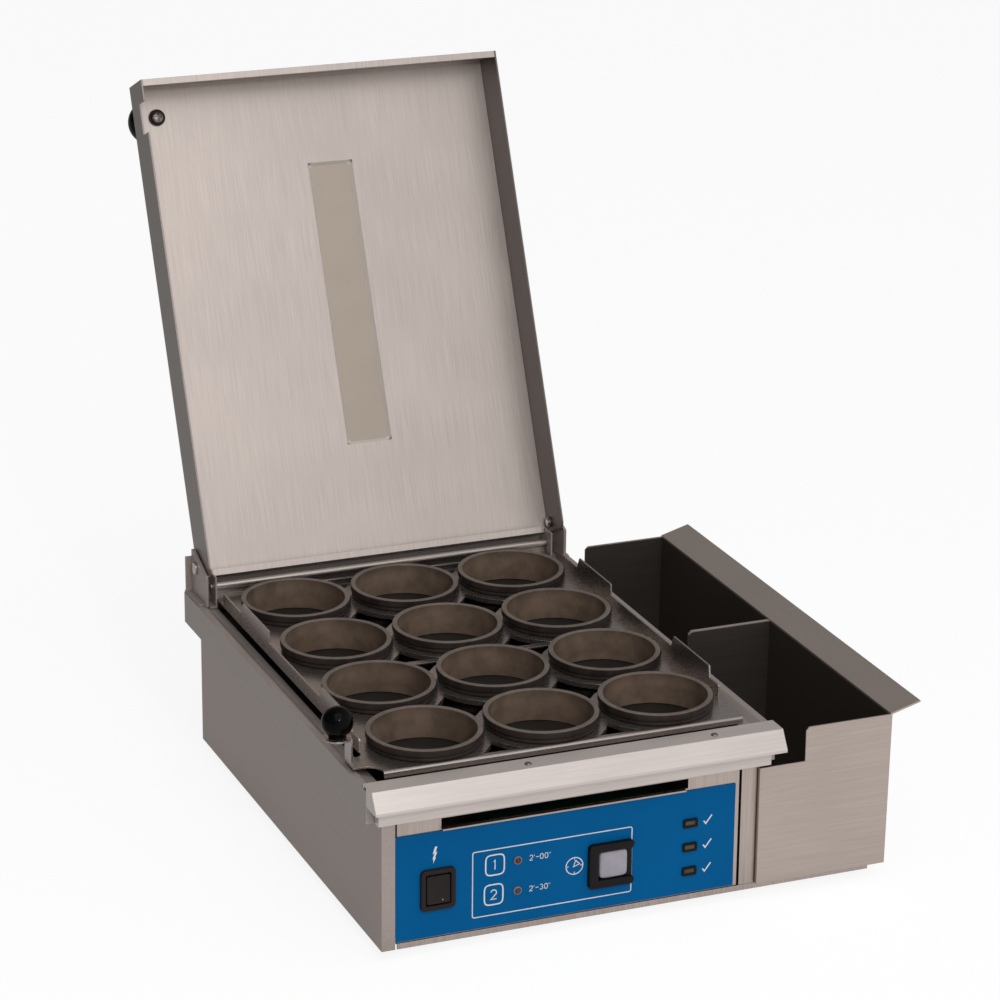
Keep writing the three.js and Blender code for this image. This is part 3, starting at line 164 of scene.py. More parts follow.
def varied(tree, factor, low, high):
    """A colour between two hex colours, by factor."""
    return mixed(tree, factor, linear(low), linear(high))


def ranged(tree, value, low, high, from_low=0.0, from_high=1.0):
    """A number moved from one range to another."""
    return add_node(tree, "MapRange", {0: value, 1: from_low, 2: from_high, 3: low, 4: high}).outputs[0]


def maths(tree, operation, *values):
    """One math node: its inputs are numbers or other nodes' outputs."""
    return add_node(tree, "Math", dict(enumerate(values)), operation=operation).outputs[0]


def product(tree, a, b):
    """Two numbers multiplied."""
    return maths(tree, "MULTIPLY", a, b)


def object_place(tree):
    """Object coordinates: a solid's origin is the world's, so they are its place at rest, in metres."""
    return add_node(tree, "TexCoord").outputs["Object"]


def split(tree, vector):
    """The three numbers of a vector."""
    return add_node(tree, "SeparateXYZ", {0: vector}).outputs


def noise(tree, scale, detail=2.0, stretch=(1, 1, 1), turn=(0, 0, 0), rough=0.5):
    """Cloudy noise on Object coordinates: scale is how many blobs stand in a metre.

    turn leans the pattern, and stretch makes it longer along its own axes.
    """
    mapping = {"Vector": object_place(tree), "Scale": stretch, "Rotation": turn}
    place = add_node(tree, "Mapping", mapping, vector_type="TEXTURE").outputs[0]
    inputs = {"Vector": place, "Scale": scale, "Detail": detail, "Roughness": rough}
    return add_node(tree, "TexNoise", inputs).outputs[0]


# %% [markdown]
# Every finish ends the same way: a Bevel node rounds the edges by about half a millimetre, so that they
# catch the light, and a Bump node lays the fine relief over them.

# %% Joining a finish to its shader
RELIEF = 0.02 * MM  # depth of the relief at strength 1


def connect(tree, shader, colour, roughness, height, bump, edge):
    """Joins colour, roughness and relief to the shader; edge is the edges' radius in millimetres."""
    soft_edge = add_node(tree, "Bevel", {"Radius": edge * MM}, samples=4).outputs[0]
    inputs = {"Strength": bump, "Distance": RELIEF, "Height": height, "Normal": soft_edge}
    relief = add_node(tree, "Bump", inputs).outputs[0]
    fill(tree, shader, {"Base Color": colour, "Roughness": roughness, "Normal": relief})


# %% [markdown]
# Brushed steel is drawn under an abrasive belt, which leaves fine parallel lines, so a highlight smears
# across them. The lines here are noise stretched along the brushing direction. Real ones, 0.1 mm
# apart, are too fine for this picture, so these are 1 mm apart. Clouds dull some areas, as handling does.

# %% Brushed stainless steel
GRAIN = 1000  # lines per metre, 1 mm apart
ALONG = 60  # how many times longer than wide a line is
CLOUDS = 9  # clouds per metre
LINE_SHARE, CLOUD_SHARE = 1.4, 0.6  # their parts of the pattern, whose mean is 1
COLOUR_RANGE, POLISH_RANGE = (0.78, 1.22), (0.75, 1.25)  # of the pattern, for each
POLISH_SPREAD = 0.04  # how far the roughness moves to each side
SHEET_EDGE = 0.5  # radius of a sheet's edges, in millimetres


def brushed(name, light, dark, roughness, axis=0, turn=(0, 0, 0), bump=0.3, metallic=1.0):
    """Brushed sheet: light and dark are its grain's hex colours, axis is the direction of its lines."""
    material, tree, shader = new_material(name, Metallic=metallic)
    stretch = [1.0, 1.0, 1.0]
    stretch[axis] = ALONG
    lines = noise(tree, GRAIN, 3.0, stretch, turn, 0.6)
    clouds = product(tree, noise(tree, CLOUDS, 3.0), CLOUD_SHARE)
    pattern = maths(tree, "ADD", product(tree, lines, LINE_SHARE), clouds)
    colour = varied(tree, ranged(tree, pattern, 0.0, 1.0, *COLOUR_RANGE), dark, light)
    polish = ranged(tree, pattern, roughness - POLISH_SPREAD, roughness + POLISH_SPREAD, *POLISH_RANGE)
    connect(tree, shader, colour, polish, lines, bump, SHEET_EDGE)
    return material


# %% [markdown]
# The other finishes are moulded plastics, seasoned cast iron, rubber and printed film. None of them is
# evenly smooth: a slow noise moves the roughness a little, and a fine one gives the surface its tooth.

# %% Moulded, cast and printed surfaces
NOISE_RANGE = (0.3, 0.7)  # most values of a noise lie between these two
TOOTH = 1500  # bumps per metre
MOULD_EDGE = 0.4  # radius of a moulded edge, in millimetres


def coated(name, light, dark, roughness, scale=60, bump=0.1, spread=0.06, **sockets):
    """A surface of two close colours in clouds, with a fine tooth."""
    material, tree, shader = new_material(name, **sockets)
    clouds = noise(tree, scale, 4.0)
    colour = varied(tree, ranged(tree, clouds, 0.0, 1.0, *NOISE_RANGE), dark, light)
    polish = ranged(tree, clouds, roughness - spread, roughness + spread, *NOISE_RANGE)
    connect(tree, shader, colour, polish, noise(tree, TOOTH, 2.0), bump, MOULD_EDGE)
    return material


# %% [markdown]
# The lid stands open by 113.5 degrees. A long shallow panel is pressed into it, where the stretched
# sheet is smoother, warmer and darker. Its sloping edge carries a painted highlight: a lighter, nearly
# matt band in place of the light on that wall. The masks follow the distance to a rectangle with round
# corners, across the lid and along it.

# %% Lid frame and the pressed panel's mask
OPEN = math.radians(113.5)
HINGE = at(0, 459, 176)
ALONG_LID = np.array([0, -math.cos(OPEN), math.sin(OPEN)])  # from the hinge to the lid's front edge
LID_OUT = np.array([0, math.sin(OPEN), math.cos(OPEN)])  # away from the open lid's outer face
LID_LEAN = (math.pi - OPEN, 0, 0)
PRESSED = {"across": (155.6, 199.4), "along": (96.1, 361.4), "corner": 5.0, "slope": 2.4}
WIDE, NARROW = 0.4 * MM, 0.2 * MM  # half widths of the soft passages from zone to zone
# metallic of the painted highlight on the sloping edge, so that it takes the lamps' light as a matt band
SLOPE_HIGHLIGHT_METALLIC = 0.1
print("pressed", PRESSED)


def from_pressed(tree):
    """Distance from the pressed panel's rectangle, with its corners cut back by a radius r.

    It is the length of max(|p - middle| - (half - r), 0), across and along the lid.
    """
    place = object_place(tree)
    distances = []
    for direction, start, (low, high) in (
        ((1, 0, 0), corner[0], PRESSED["across"]), (ALONG_LID, ALONG_LID @ HINGE, PRESSED["along"]),
    ):
        dot = add_node(tree, "VectorMath", {0: place, 1: direction}, operation="DOT_PRODUCT")
        run = dot.outputs["Value"]
        from_middle = maths(tree, "SUBTRACT", run, start + (low + high) / 2 * MM)
        inner = ((high - low) / 2 - PRESSED["corner"]) * MM
        off = maths(tree, "SUBTRACT", maths(tree, "ABSOLUTE", from_middle), inner)
        distances.append(maths(tree, "MAXIMUM", off, 0.0))
    squares = [product(tree, d, d) for d in distances]
    return maths(tree, "SQRT", maths(tree, "ADD", *squares))


def add_pressed_panel(material, light, dark, roughness, slope):
    """Lays a second colour and roughness over a brushed sheet where the panel is pressed in.

    slope is the colour of the painted highlight on the panel's sloping edge.
    """
    tree = material.node_tree
    shader = tree.nodes["Principled BSDF"]
    away = from_pressed(tree)
    floor_end, end = (PRESSED["corner"] - PRESSED["slope"]) * MM, PRESSED["corner"] * MM
    mask = ranged(tree, away, 1.0, 0.0, end - WIDE, end + WIDE)
    outside_floor = ranged(tree, away, 0.0, 1.0, floor_end - NARROW, floor_end + NARROW)
    # edge is the band of the sloping wall, where the painted highlight lies
    edge = product(tree, outside_floor, ranged(tree, away, 1.0, 0.0, end - NARROW, end + WIDE))
    sheet, rough = [shader.inputs[name].links[0].from_socket for name in ("Base Color", "Roughness")]
    panel = mixed(tree, mask, sheet, varied(tree, noise(tree, 40, 3.0), dark, light))
    fill(tree, shader, {
        "Base Color": mixed(tree, edge, panel, linear(slope)),
        "Metallic": ranged(tree, edge, shader.inputs["Metallic"].default_value, SLOPE_HIGHLIGHT_METALLIC),
        "Roughness": add_node(tree, "Mix", {0: mask, 2: rough, 3: roughness}).outputs[0],
    })


# %% [markdown]
# The lid's side flanges and the inside of the bins are darkened by painted shade: a factor on the
# sheet's colour. The bins' one needs the depth behind six inner planes: the least distance.

# %% Painted shade on the flanges and in the bins
FLANGE_FADE = (1.6, 2.2)  # distances from the lid's sides between which the painted shade ends
FLANGE_SHADE_TONES = (0.6, 0.3)  # left and right
BIN = {"floor": 122.2, "lean": 1.7, "height": 138.2}  # width, the right wall's lean, height
# painted shade inside the bins: the depths in mm over which it sets in, and the share of colour it leaves
BIN_FADE, BIN_SHADE_TONE = (0.8, 1.0), 0.25
print("painted_shade tones", FLANGE_SHADE_TONES, BIN_SHADE_TONE)


def shade(tree, share):
    """Multiplies the colour of a finished material by share."""
    socket = tree.nodes["Principled BSDF"].inputs["Base Color"]
    colour = socket.links[0].from_socket
    shaded = add_node(tree, "VectorMath", {0: colour, "Scale": share}, operation="SCALE")
    tree.links.new(shaded.outputs[0], socket)


def paint_flange_shade(material):
    """Darkens the lid's two side flanges with painted shade."""
    tree = material.node_tree
    across = split(tree, object_place(tree))[0]
    low, high = (edge[0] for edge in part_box("lid_shell"))
    start, stop = (distance * MM for distance in FLANGE_FADE)
    left = ranged(tree, across, FLANGE_SHADE_TONES[0], 1.0, low + start, low + stop)
    right = ranged(tree, across, 1.0, FLANGE_SHADE_TONES[1], high - stop, high - start)
    shade(tree, product(tree, left, right))


def paint_bin_shade(material):
    """Darkens the inside of both bins below their rims with painted shade."""
    tree = material.node_tree

    def less(a, b):
        return maths(tree, "SUBTRACT", a, b)

    x, y, z = split(tree, object_place(tree))
    insides = []
    for name in ("bin_front", "bin_rear"):
        low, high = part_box(name)
        lean = product(tree, less(z, low[2]), BIN["lean"] / BIN["height"])
        room = less(lean, less(x, low[0] + BIN["floor"] * MM))
        for distance in (
            less(x, low[0]), less(z, low[2]), less(y, low[1]), less(high[1], y),
            less(low[2] + BIN["height"] * MM, z),
        ):
            room = maths(tree, "MINIMUM", room, distance)
        insides.append(room)
    room = maths(tree, "MAXIMUM", *insides)
    shade(tree, ranged(tree, room, 1.0, BIN_SHADE_TONE, *(distance * MM for distance in BIN_FADE)))


# %% [markdown]
# Each finish is named after its piece and material. The hex colours are the light and the dark of its
# pattern, chosen by comparing renders with the photo, and the number after them is its roughness.
# Steel with a lower metallic value here shows less of the room that it mirrors.

# %% Finishes
side_steel = brushed("side panel, brushed stainless", 0xA99C96, 0x9C908A, 0.42, axis=1)
front_steel = brushed("front sheet, brushed stainless", 0xB5A8A1, 0xA2968F, 0.36, axis=2)
frame_steel = brushed(
    "top frame, brushed stainless", 0xADA29C, 0x9F948E, 0.42, axis=1, metallic=0.3)
rail_steel = brushed(
    "rail, bright brushed stainless", 0xD6CCC7, 0xCCC2BD, 0.34, axis=0, metallic=0.4)
rack_steel = brushed(
    "ring rack, polished stainless", 0xAAA09B, 0x9A918C, 0.28, axis=0, bump=0.1, metallic=0.9)
dull_steel = brushed("screws and clips, dull steel", 0x8A807B, 0x766D69, 0.35, axis=0)
lid_steel = brushed(
    "lid, satin stainless", 0xB7ACA6, 0xAAA09A, 0.4, axis=1, turn=LID_LEAN, metallic=0.8)
# painted shade on the lid's side flanges
paint_flange_shade(lid_steel)
# the last colour is the painted highlight on the panel's sloping edge
add_pressed_panel(lid_steel, 0x9F9388, 0x988C82, 0.46, 0xD8D0C8)
bin_steel = brushed(
    "bins, brushed stainless", 0xB9ABA2, 0xADA098, 0.38, axis=0, metallic=0.7)
# painted shade inside the bins
paint_bin_shade(bin_steel)
bright_steel = brushed("pins and rod, bright stainless", 0xD8D0CC, 0xC2B9B4, 0.25, axis=0)
griddle_coat = coated("griddle, seasoned cast plate", 0x2E2A27, 0x221F1D, 0.5, Metallic=0.4)
bakelite = coated(
    "knobs, black phenolic", 0x080606, 0x050404, 0.05, spread=0.02, bump=0.0, Specular_IOR_Level=0.06)
moulded_black = coated("guard and lamps, black ABS", 0x151112, 0x0F0C0D, 0.42, Specular_IOR_Level=0.15)
switch_black = coated("main switch, brown-black ABS", 0x2A2221, 0x221B1A, 0.4, Specular_IOR_Level=0.15)
moulded_grey = coated("fittings, grey nylon", 0x5E5C5C, 0x525050, 0.5)
key_lens = coated("timer key, frosted acrylic", 0xACA6B0, 0x9F99A4, 0.34, scale=90)
film = coated(
    "control film, blue polyester", 0x00639F, 0x005D98, 0.5, scale=12, bump=0.05, Specular_IOR_Level=0.06)
lens_dark = coated(
    "lamp windows, smoked polycarbonate", 0x5C4E3C, 0x4A3E30, 0.3, Specular_IOR_Level=0.3)
lens_red = coated("diode, dark red lens", 0x5E2826, 0x4A1F1E, 0.25, Specular_IOR_Level=0.4)
lens_brown = coated("diode, dark brown lens", 0x4E3932, 0x3E2C27, 0.25, Specular_IOR_Level=0.4)
foot_rubber = coated("feet, black rubber", 0x1E1D1C, 0x171615, 0.8)
laminate = coated(
    "circuit board, dark green laminate", 0x0E2A1C, 0x0B2217, 0.5, Specular_IOR_Level=0.2)
heater_tube = coated("element, heat-tinted tube", 0x6F665E, 0x5A524B, 0.45, Metallic=0.8)
print("finishes", len(bpy.data.materials))

# %% [markdown]
# Each solid gets its finish by its name. Those not in the table are the four rubber feet, and the egg
# rings' solids, which turned rings replace below.

# %% Assign the finishes
NODES_OF = (
    (front_steel, "base_pan right_side_panel front_panel"),
    (side_steel, "left_side_panel rear_panel heat_shield"),
    (frame_steel, "top_frame lid_stop_plate hinge_bracket_left hinge_bracket_right"),
    (frame_steel, "rack_lug_left rack_lug_right"), (rail_steel, "front_rail"), (lid_steel, "lid_shell"),
    (rack_steel, "ring_rack"), (bin_steel, "bin_front bin_rear"),
    (bright_steel, "hinge_pin_left hinge_pin_right lid_knob_screw rack_rod"),
    (dull_steel, "hinge_clip_left hinge_clip_right"), (griddle_coat, "griddle_plate"),
    (heater_tube, "heating_element"), (film, "control_overlay"), (switch_black, "switch_bezel switch_rocker"),
    (moulded_black, "timer_key_guard cord_gland relay_left relay_right lid_knob_washer"),
    (moulded_grey, "terminal_block thermostat"), (laminate, "control_board"), (key_lens, "timer_key"),
    (lens_dark, "lamp_upper lamp_middle lamp_lower"), (lens_red, "led_upper"), (lens_brown, "led_lower"),
    (bakelite, "lid_knob rack_knob"),
)
FINISH_OF = {name: finish for finish, names in NODES_OF for name in names.split()}
for name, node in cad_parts.items():
    node.data.materials.clear()
    node.data.materials.append(FINISH_OF.get(name, foot_rubber))
print("solids in the table", len(FINISH_OF), "of", len(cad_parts))

# %% [markdown]
# Turned pieces, such as rings and ball knobs, are a profile carried round an axis. Its corners are
# rounded first, because nothing cast, pressed or turned has a knife edge.

# %% Turned surfaces
SAME_POINT, NO_LENGTH = 1e-6, 1e-7  # metres


def rounded(points, radius, steps=4):
    """Closed outline with every corner cut back by radius and bridged by a quadratic curve."""
    points = np.asarray(points, float)
    before, after = np.roll(points, 1, axis=0) - points, np.roll(points, -1, axis=0) - points
    shorter = np.minimum(np.linalg.norm(before, axis=1), np.linalg.norm(after, axis=1))
    reach = np.minimum(radius, 0.45 * shorter)
    start = points + before / np.linalg.norm(before, axis=1)[:, None] * reach[:, None]
    end = points + after / np.linalg.norm(after, axis=1)[:, None] * reach[:, None]
    t = np.linspace(0, 1, steps + 1)[None, :, None]
    curve = (1 - t) ** 2 * start[:, None] + 2 * t * (1 - t) * points[:, None] + t**2 * end[:, None]
    return curve.reshape(-1, 2)


def lathe(profile, sides):
    """Grid of points: radius times the angle's cosine and sine, and height, for each profile point."""
    profile = np.asarray(profile, float)
    angle = np.linspace(0, 2 * np.pi, sides, endpoint=False)[:, None]
    r, z = profile[None, :, 0], profile[None, :, 1]
    height = np.broadcast_to(z, (sides, len(profile)))
    return np.stack([r * np.cos(angle), r * np.sin(angle), height], axis=-1)


def surface(name, grids, finish, body, wrap=(True, True), smooth=35):
    """One piece from grids of points, whose neighbours become quads; wrap joins a direction's ends."""
    vertices, faces, offset = [], [], 0
    for grid in grids:
        nu, nv = grid.shape[:2]
        index = np.arange(nu * nv).reshape(nu, nv) + offset
        if wrap[0]:
            index = np.vstack([index, index[:1]])
        if wrap[1]:
            index = np.hstack([index, index[:, :1]])
        quads = np.stack([index[:-1, :-1], index[1:, :-1], index[1:, 1:], index[:-1, 1:]], axis=-1)
        vertices.append(grid.reshape(-1, 3))
        faces.append(quads.reshape(-1, 4))
        offset += nu * nv
    mesh = bpy.data.meshes.new(name)
    mesh.from_pydata(np.vstack(vertices).tolist(), [], np.vstack(faces).tolist())
    return finished(name, mesh, finish, body, smooth)


def finished(name, mesh, finish, body, smooth=35):
    """Merges doubles, turns the faces outwards, shades the mesh and makes it a piece on a body."""
    work = bmesh.new()
    work.from_mesh(mesh)
    bmesh.ops.remove_doubles(work, verts=work.verts, dist=SAME_POINT)
    bmesh.ops.dissolve_degenerate(work, edges=work.edges, dist=NO_LENGTH)
    bmesh.ops.recalc_face_normals(work, faces=work.faces)
    work.to_mesh(mesh)
    work.free()
    mesh.polygons.foreach_set("use_smooth", np.ones(len(mesh.polygons), bool))
    mesh.set_sharp_from_angle(angle=math.radians(smooth))
    mesh.materials.append(finish)
    piece = bpy.data.objects.new(name, mesh)
    bpy.context.scene.collection.objects.link(piece)
    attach(piece, body)
    return piece


# %% [markdown]
# Each egg ring is a short spun cup without a floor, coated in fired brown-black. Scraping has worn the
# rim lighter, and egg and fat have turned the bore a warmer brown. Both follow the distance from each
# ring's own axis, which is kept in an attribute, because Object coordinates are the same for all twelve.

# %% Fired coating of the egg rings
RING_RIM, RING_WALL, RING_FOOT = 49.0, 47.5, 46.3  # outer radii of rim, wall and foot
RING_MOUTH, RING_BORE = 44.6, 43.3  # inner radii at the top and the bottom
BORE_FADE = 0.4  # half width of the passage to the bore's colour
WORN_FADE = (0.3, 0.9)  # the worn rim ends between these depths
PATCH_RANGE = (0.38, 0.62)  # narrow, so that the patches have clear borders
SCRATCHES = 700  # per metre


def ring_coating():
    """Outside dark, rim lighter, bore warm, by on_ring: distance from the axis, depth below the rim."""
    material, tree, shader = new_material(
        "egg rings, fired non-stick coating", Metallic=0.1, Specular_IOR_Level=0.2)
    place = add_node(tree, "Attribute", attribute_name="on_ring").outputs["Vector"]
    from_axis, below_rim, _ = split(tree, place)
    clouds = noise(tree, 55, 5.0, rough=0.6)
    fine = noise(tree, SCRATCHES, 3.0)
    patches = ranged(tree, clouds, 0.0, 1.0, *PATCH_RANGE)
    outside = varied(tree, patches, 0x2E2623, 0x3C332F)
    bore = varied(tree, patches, 0x6B5B4F, 0x7F6B5B)
    rim = varied(tree, patches, 0x70665F, 0x80756D)
    in_bore = ranged(tree, from_axis, 1.0, 0.0, RING_MOUTH - BORE_FADE, RING_MOUTH + BORE_FADE)
    near_top = ranged(tree, below_rim, 1.0, 0.0, *WORN_FADE)
    worn = product(tree, near_top, ranged(tree, fine, 0.75, 1.0, 0.3, 0.6))
    colour = mixed(tree, worn, mixed(tree, in_bore, outside, bore), rim)
    relief = add_node(tree, "Bump", {"Strength": 0.25, "Distance": 0.05 * MM, "Height": fine}).outputs[0]
    polish = ranged(tree, clouds, 0.4, 0.58, *NOISE_RANGE)
    fill(tree, shader, {"Base Color": colour, "Roughness": polish, "Normal": relief})
    return material


non_stick = ring_coating()
print("rings' rims", RING_RIM * 2, "mm across")

# %% [markdown]
# A rolled rim stands proud at a ring's top, and under a groove a second bead rests on the rack. A small
# coated clip grips the wall below the rim, turned a little forwards from the ring's right-hand side.

# %% Sections of ring and clip
RING_BEAD, RING_GROOVE = RING_WALL + 0.5, RING_WALL - 0.6
OUTER_SECTION = [  # radius and depth below the rim: foot, second bead, groove, rolled rim and mouth
    (RING_FOOT, 10.6), (RING_BEAD, 10.2), (RING_BEAD, 8.0), (RING_GROOVE, 7.4), (RING_GROOVE, 6.6),
    (RING_RIM, 6.0), (RING_RIM, 0.0), (RING_MOUTH, 0.0),
]
CLIP_RADII, CLIP_DEPTHS, CLIP_HALF = (46.9, 50.6), (10.4, 2.4), 3.0  # depths below the rim, half width
RING_SOFT, CLIP_SOFT = 0.6, 0.8  # radii of the sections' corners
CLIP_EDGE, CLIP_END, CLIP_TURN = 0.3, 0.92, math.radians(-12)  # chamfer, size of its ends, direction


def ring_profile(tall):
    """Closed section of a ring, as radius and height."""
    outer = [(radius, tall - depth) for radius, depth in OUTER_SECTION]
    return rounded([(RING_BORE, 0), (RING_FOOT, 0), *outer], RING_SOFT)


def ring_clip(tall):
    """The clip's section across the wall, swept along its width and turned to its direction."""
    (inner, outer), (bottom, top), half = CLIP_RADII, [tall - depth for depth in CLIP_DEPTHS], CLIP_HALF
    section = rounded([[inner, bottom], [outer, bottom], [outer, top], [inner, top]], CLIP_SOFT)
    centre = section.mean(axis=0)
    rows = [(-half, 0), (-half, CLIP_END), (CLIP_EDGE - half, 1)]
    rows += [(half - CLIP_EDGE, 1), (half, CLIP_END), (half, 0)]
    r_z = np.stack([centre + (section - centre) * share for _, share in rows])
    along = np.array([place for place, _ in rows])[:, None]
    cosine, sine = math.cos(CLIP_TURN), math.sin(CLIP_TURN)
    x, y = r_z[..., 0] * cosine - along * sine, r_z[..., 0] * sine + along * cosine
    return np.stack([x, y, r_z[..., 1]], axis=-1)


def add_place_on_ring(piece, centre, tall):
    """Attribute on_ring: distance from the ring's axis and depth below its rim, in millimetres."""
    points = np.empty(len(piece.data.vertices) * 3)
    piece.data.vertices.foreach_get("co", points)
    points = (points.reshape(-1, 3) - centre) / MM
    from_axis, depth = np.hypot(points[:, 0], points[:, 1]), tall - points[:, 2]
    layer = piece.data.attributes.new("on_ring", "FLOAT_VECTOR", "POINT")
    layer.data.foreach_set("vector", np.stack([from_axis, depth, 0 * depth], axis=-1).ravel())


# %% Egg rings
ring_names = sorted(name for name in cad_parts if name.startswith("egg_ring"))
for name in ring_names:
    low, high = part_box(name)
    tall = (high[2] - low[2]) / MM
    centre = np.array([low[0] + RING_RIM * MM, (low[1] + high[1]) / 2, low[2]])
    turned = lathe(ring_profile(tall), 96) * MM + centre
    ring = surface(f"{name}_turned", [turned], non_stick, "rack")
    add_place_on_ring(ring, centre, tall)
    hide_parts(name)
    swept = ring_clip(tall) * MM + centre
    clip = surface(f"{name}_clip", [swept], non_stick, "rack", wrap=(False, True))
    add_place_on_ring(clip, centre, tall)
print("rings", len(ring_names))

# %% [markdown]
# The two ball knobs are polished phenolic, turned about their own axis: the rack's knob stands
# upright, and the lid's knob leans with the open lid.

# %% Ball knobs
RACK_KNOB, LID_KNOB = 13.3, 20.5  # radii of the balls
NECK_RADIUS, NECK, NECK_EDGE = 7.5, 2.0, 0.6  # radius and height of the neck, chamfer at its foot


def ball_profile(radius, steps=32):
    """Neck and ball from the base up: the ball is an arc from the neck's radius round to the axis."""
    start = math.asin(NECK_RADIUS / radius)
    angle = np.linspace(start, math.pi, steps)
    centre = NECK + radius * math.cos(start)
    ball = np.stack([radius * np.sin(angle), centre - radius * np.cos(angle)], axis=-1)
    ball[-1, 0] = 0
    return np.vstack([[[0, 0], [NECK_RADIUS - NECK_EDGE, 0], [NECK_RADIUS, NECK_EDGE]], ball])


def aimed(grid, direction):
    """Turns a grid made about +Z so that its axis points along direction."""
    turn = Vector((0, 0, 1)).rotation_difference(Vector(direction)).to_matrix()
    return grid @ np.array(turn).T


low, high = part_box("rack_knob")
rack_base = np.array([(low[0] + high[0]) / 2, (low[1] + high[1]) / 2, low[2]])
rack_ball = lathe(ball_profile(RACK_KNOB), 72) * MM + rack_base
rack_knob = surface("rack_knob_turned", [rack_ball], bakelite, "rack", wrap=(True, False))
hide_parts("rack_knob")

low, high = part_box("lid_knob")
ball_middle = np.array([(low[0] + high[0]) / 2, high[1] - LID_KNOB * MM, (low[2] + high[2]) / 2])
lid_base = ball_middle - LID_OUT * (NECK + math.sqrt(LID_KNOB**2 - NECK_RADIUS**2)) * MM
lid_ball = aimed(lathe(ball_profile(LID_KNOB), 80), LID_OUT) * MM + lid_base
lid_knob = surface("lid_knob_turned", [lid_ball], bakelite, "lid", wrap=(True, False))
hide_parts("lid_knob")
print("ball knobs", RACK_KNOB, LID_KNOB)

# %% [markdown]
# A pan-head screw on a washer holds the lid's knob from inside. Its head is a dome, and a cross is sunk
# in it: points within a slot's half width of either axis lie deeper.

# %% Screw of the lid's knob
HEAD, CROSS, SLOT = 5.6, 3.9, 0.75  # radius of the head, reach and half width of the cross
HEAD_HEIGHT, CROSS_DEPTH, HEAD_EDGE = 2.2, 1.3, 0.4
HEAD_INSIDE = 4.4  # from the knob's foot through sheet and washer to the head


def cross_head(rings=30, sides=96):
    """Grid of the dome z = height (1 - (r / R)^2)^0.6, less the cross's depth where it is sunk."""
    r = np.linspace(0, HEAD, rings)[:, None]
    t = np.linspace(0, 2 * np.pi, sides, endpoint=False)[None, :]
    x, y = r * np.cos(t), r * np.sin(t)
    dome = HEAD_HEIGHT * np.clip(1 - (r / HEAD) ** 2, 0, 1) ** 0.6 + 0 * t
    sunk = (np.minimum(abs(x), abs(y)) < SLOT) & (np.maximum(abs(x), abs(y)) < CROSS)
    top = np.stack([x, y, np.where(sunk, dome - CROSS_DEPTH, dome)], axis=-1)
    under = np.broadcast_to([0.0, 0.0, -HEAD_EDGE], (1, sides, 3))
    rim = top[-1:] - [0, 0, HEAD_EDGE]
    return np.concatenate([top, rim, under])


head_base = lid_base + LID_OUT * -HEAD_INSIDE * MM
screw_head = aimed(cross_head(), -LID_OUT) * MM + head_base
lid_screw = surface(
    "lid_knob_screw_head", [screw_head], dull_steel, "lid", wrap=(False, True), smooth=30)
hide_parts("lid_knob_screw")
print("screw head", HEAD * 2, "mm across")

# %% [markdown]
# The control film lies flat on the front sheet, so every mark and fitting on it is an outline across
# (x) and up (z), in millimetres from the cabinet's corner, with a depth that counts to the back.
# `placed` turns an outline to world points, and `lofted` joins a row of outlines into a surface.

# %% Outlines on the control film
FILM_FACE = 0.3  # depth of the film's front face


def placed(outline, depth):
    """World points of an outline, at one depth for all or for each of its points."""
    outline = np.asarray(outline, float)
    depth = np.broadcast_to(depth, outline.shape[:-1])
    return corner + np.stack([outline[..., 0], depth, outline[..., 1]], axis=-1) * MM


def round_box(x, z, width, height, radius, steps=8):
    """Rectangle whose corners are quarter circles: four arcs about the four corner centres."""
    quarter = np.linspace(0, np.pi / 2, steps)
    turns = np.repeat(np.arange(4) * np.pi / 2, steps) + np.tile(quarter, 4)
    signs = np.repeat([[1, 1], [-1, 1], [-1, -1], [1, -1]], steps, axis=0)
    centres = signs * [width / 2 - radius, height / 2 - radius]
    return centres + radius * np.stack([np.cos(turns), np.sin(turns)], axis=-1) + [x, z]


def shrunk(x, z, size, radius, less, radius_less=None):
    """Round rectangle drawn in by less. Its radius shrinks by as much, unless radius_less is given."""
    cut = less if radius_less is None else radius_less
    return round_box(x, z, size[0] - 2 * less, size[1] - 2 * less, radius - cut)


def super_ellipse(x, z, width, height, power=4.5, count=64):
    """Square with swelling sides: |x|^p + |z|^p = 1, walked by angle and stretched to its size."""
    t = np.linspace(0, 2 * np.pi, count, endpoint=False)
    c, s = np.cos(t), np.sin(t)
    across = np.sign(c) * np.abs(c) ** (2 / power) * width / 2
    return np.stack([across + x, np.sign(s) * np.abs(s) ** (2 / power) * height / 2 + z], axis=-1)


def lofted(rows):
    """Rows of (outline, depth) become one grid of world points."""
    return np.stack([placed(outline, depth) for outline, depth in rows])


def drawn_in(outline, steps):
    """Rows of (outline, depth), for steps of (less, depth)."""
    return [(outline(less), depth) for less, depth in steps]


def solid(name, rows, finish, body):
    """A lofted piece with closed ends: at each, one more row is drawn together to a point."""
    def point(outline, depth):
        return np.broadcast_to(np.mean(outline, axis=0), np.shape(outline)), np.mean(depth)

    grid = lofted([point(*rows[0]), *rows, point(*rows[-1])])
    return surface(name, [grid], finish, body, wrap=(False, True))


# %% [markdown]
# Marks are silk-screened: white ink stands on the film. Each mark is a stroke, a path with an even
# width, whose edges meet on the bisector at a corner, so that it keeps its width.

# %% Printed strokes
INK = 0.08  # thickness of the ink
ink_grey = coated("rocker mark, grey ink", 0xA8A2A0, 0x9C9694, 0.6, bump=0.0)
ink_white = coated("printed marks, white screen ink", 0xF4F2F0, 0xE9E7E5, 0.55, bump=0.0)


def unit(vectors):
    """Each vector divided by its length."""
    return vectors / np.linalg.norm(vectors, axis=1)[:, None]


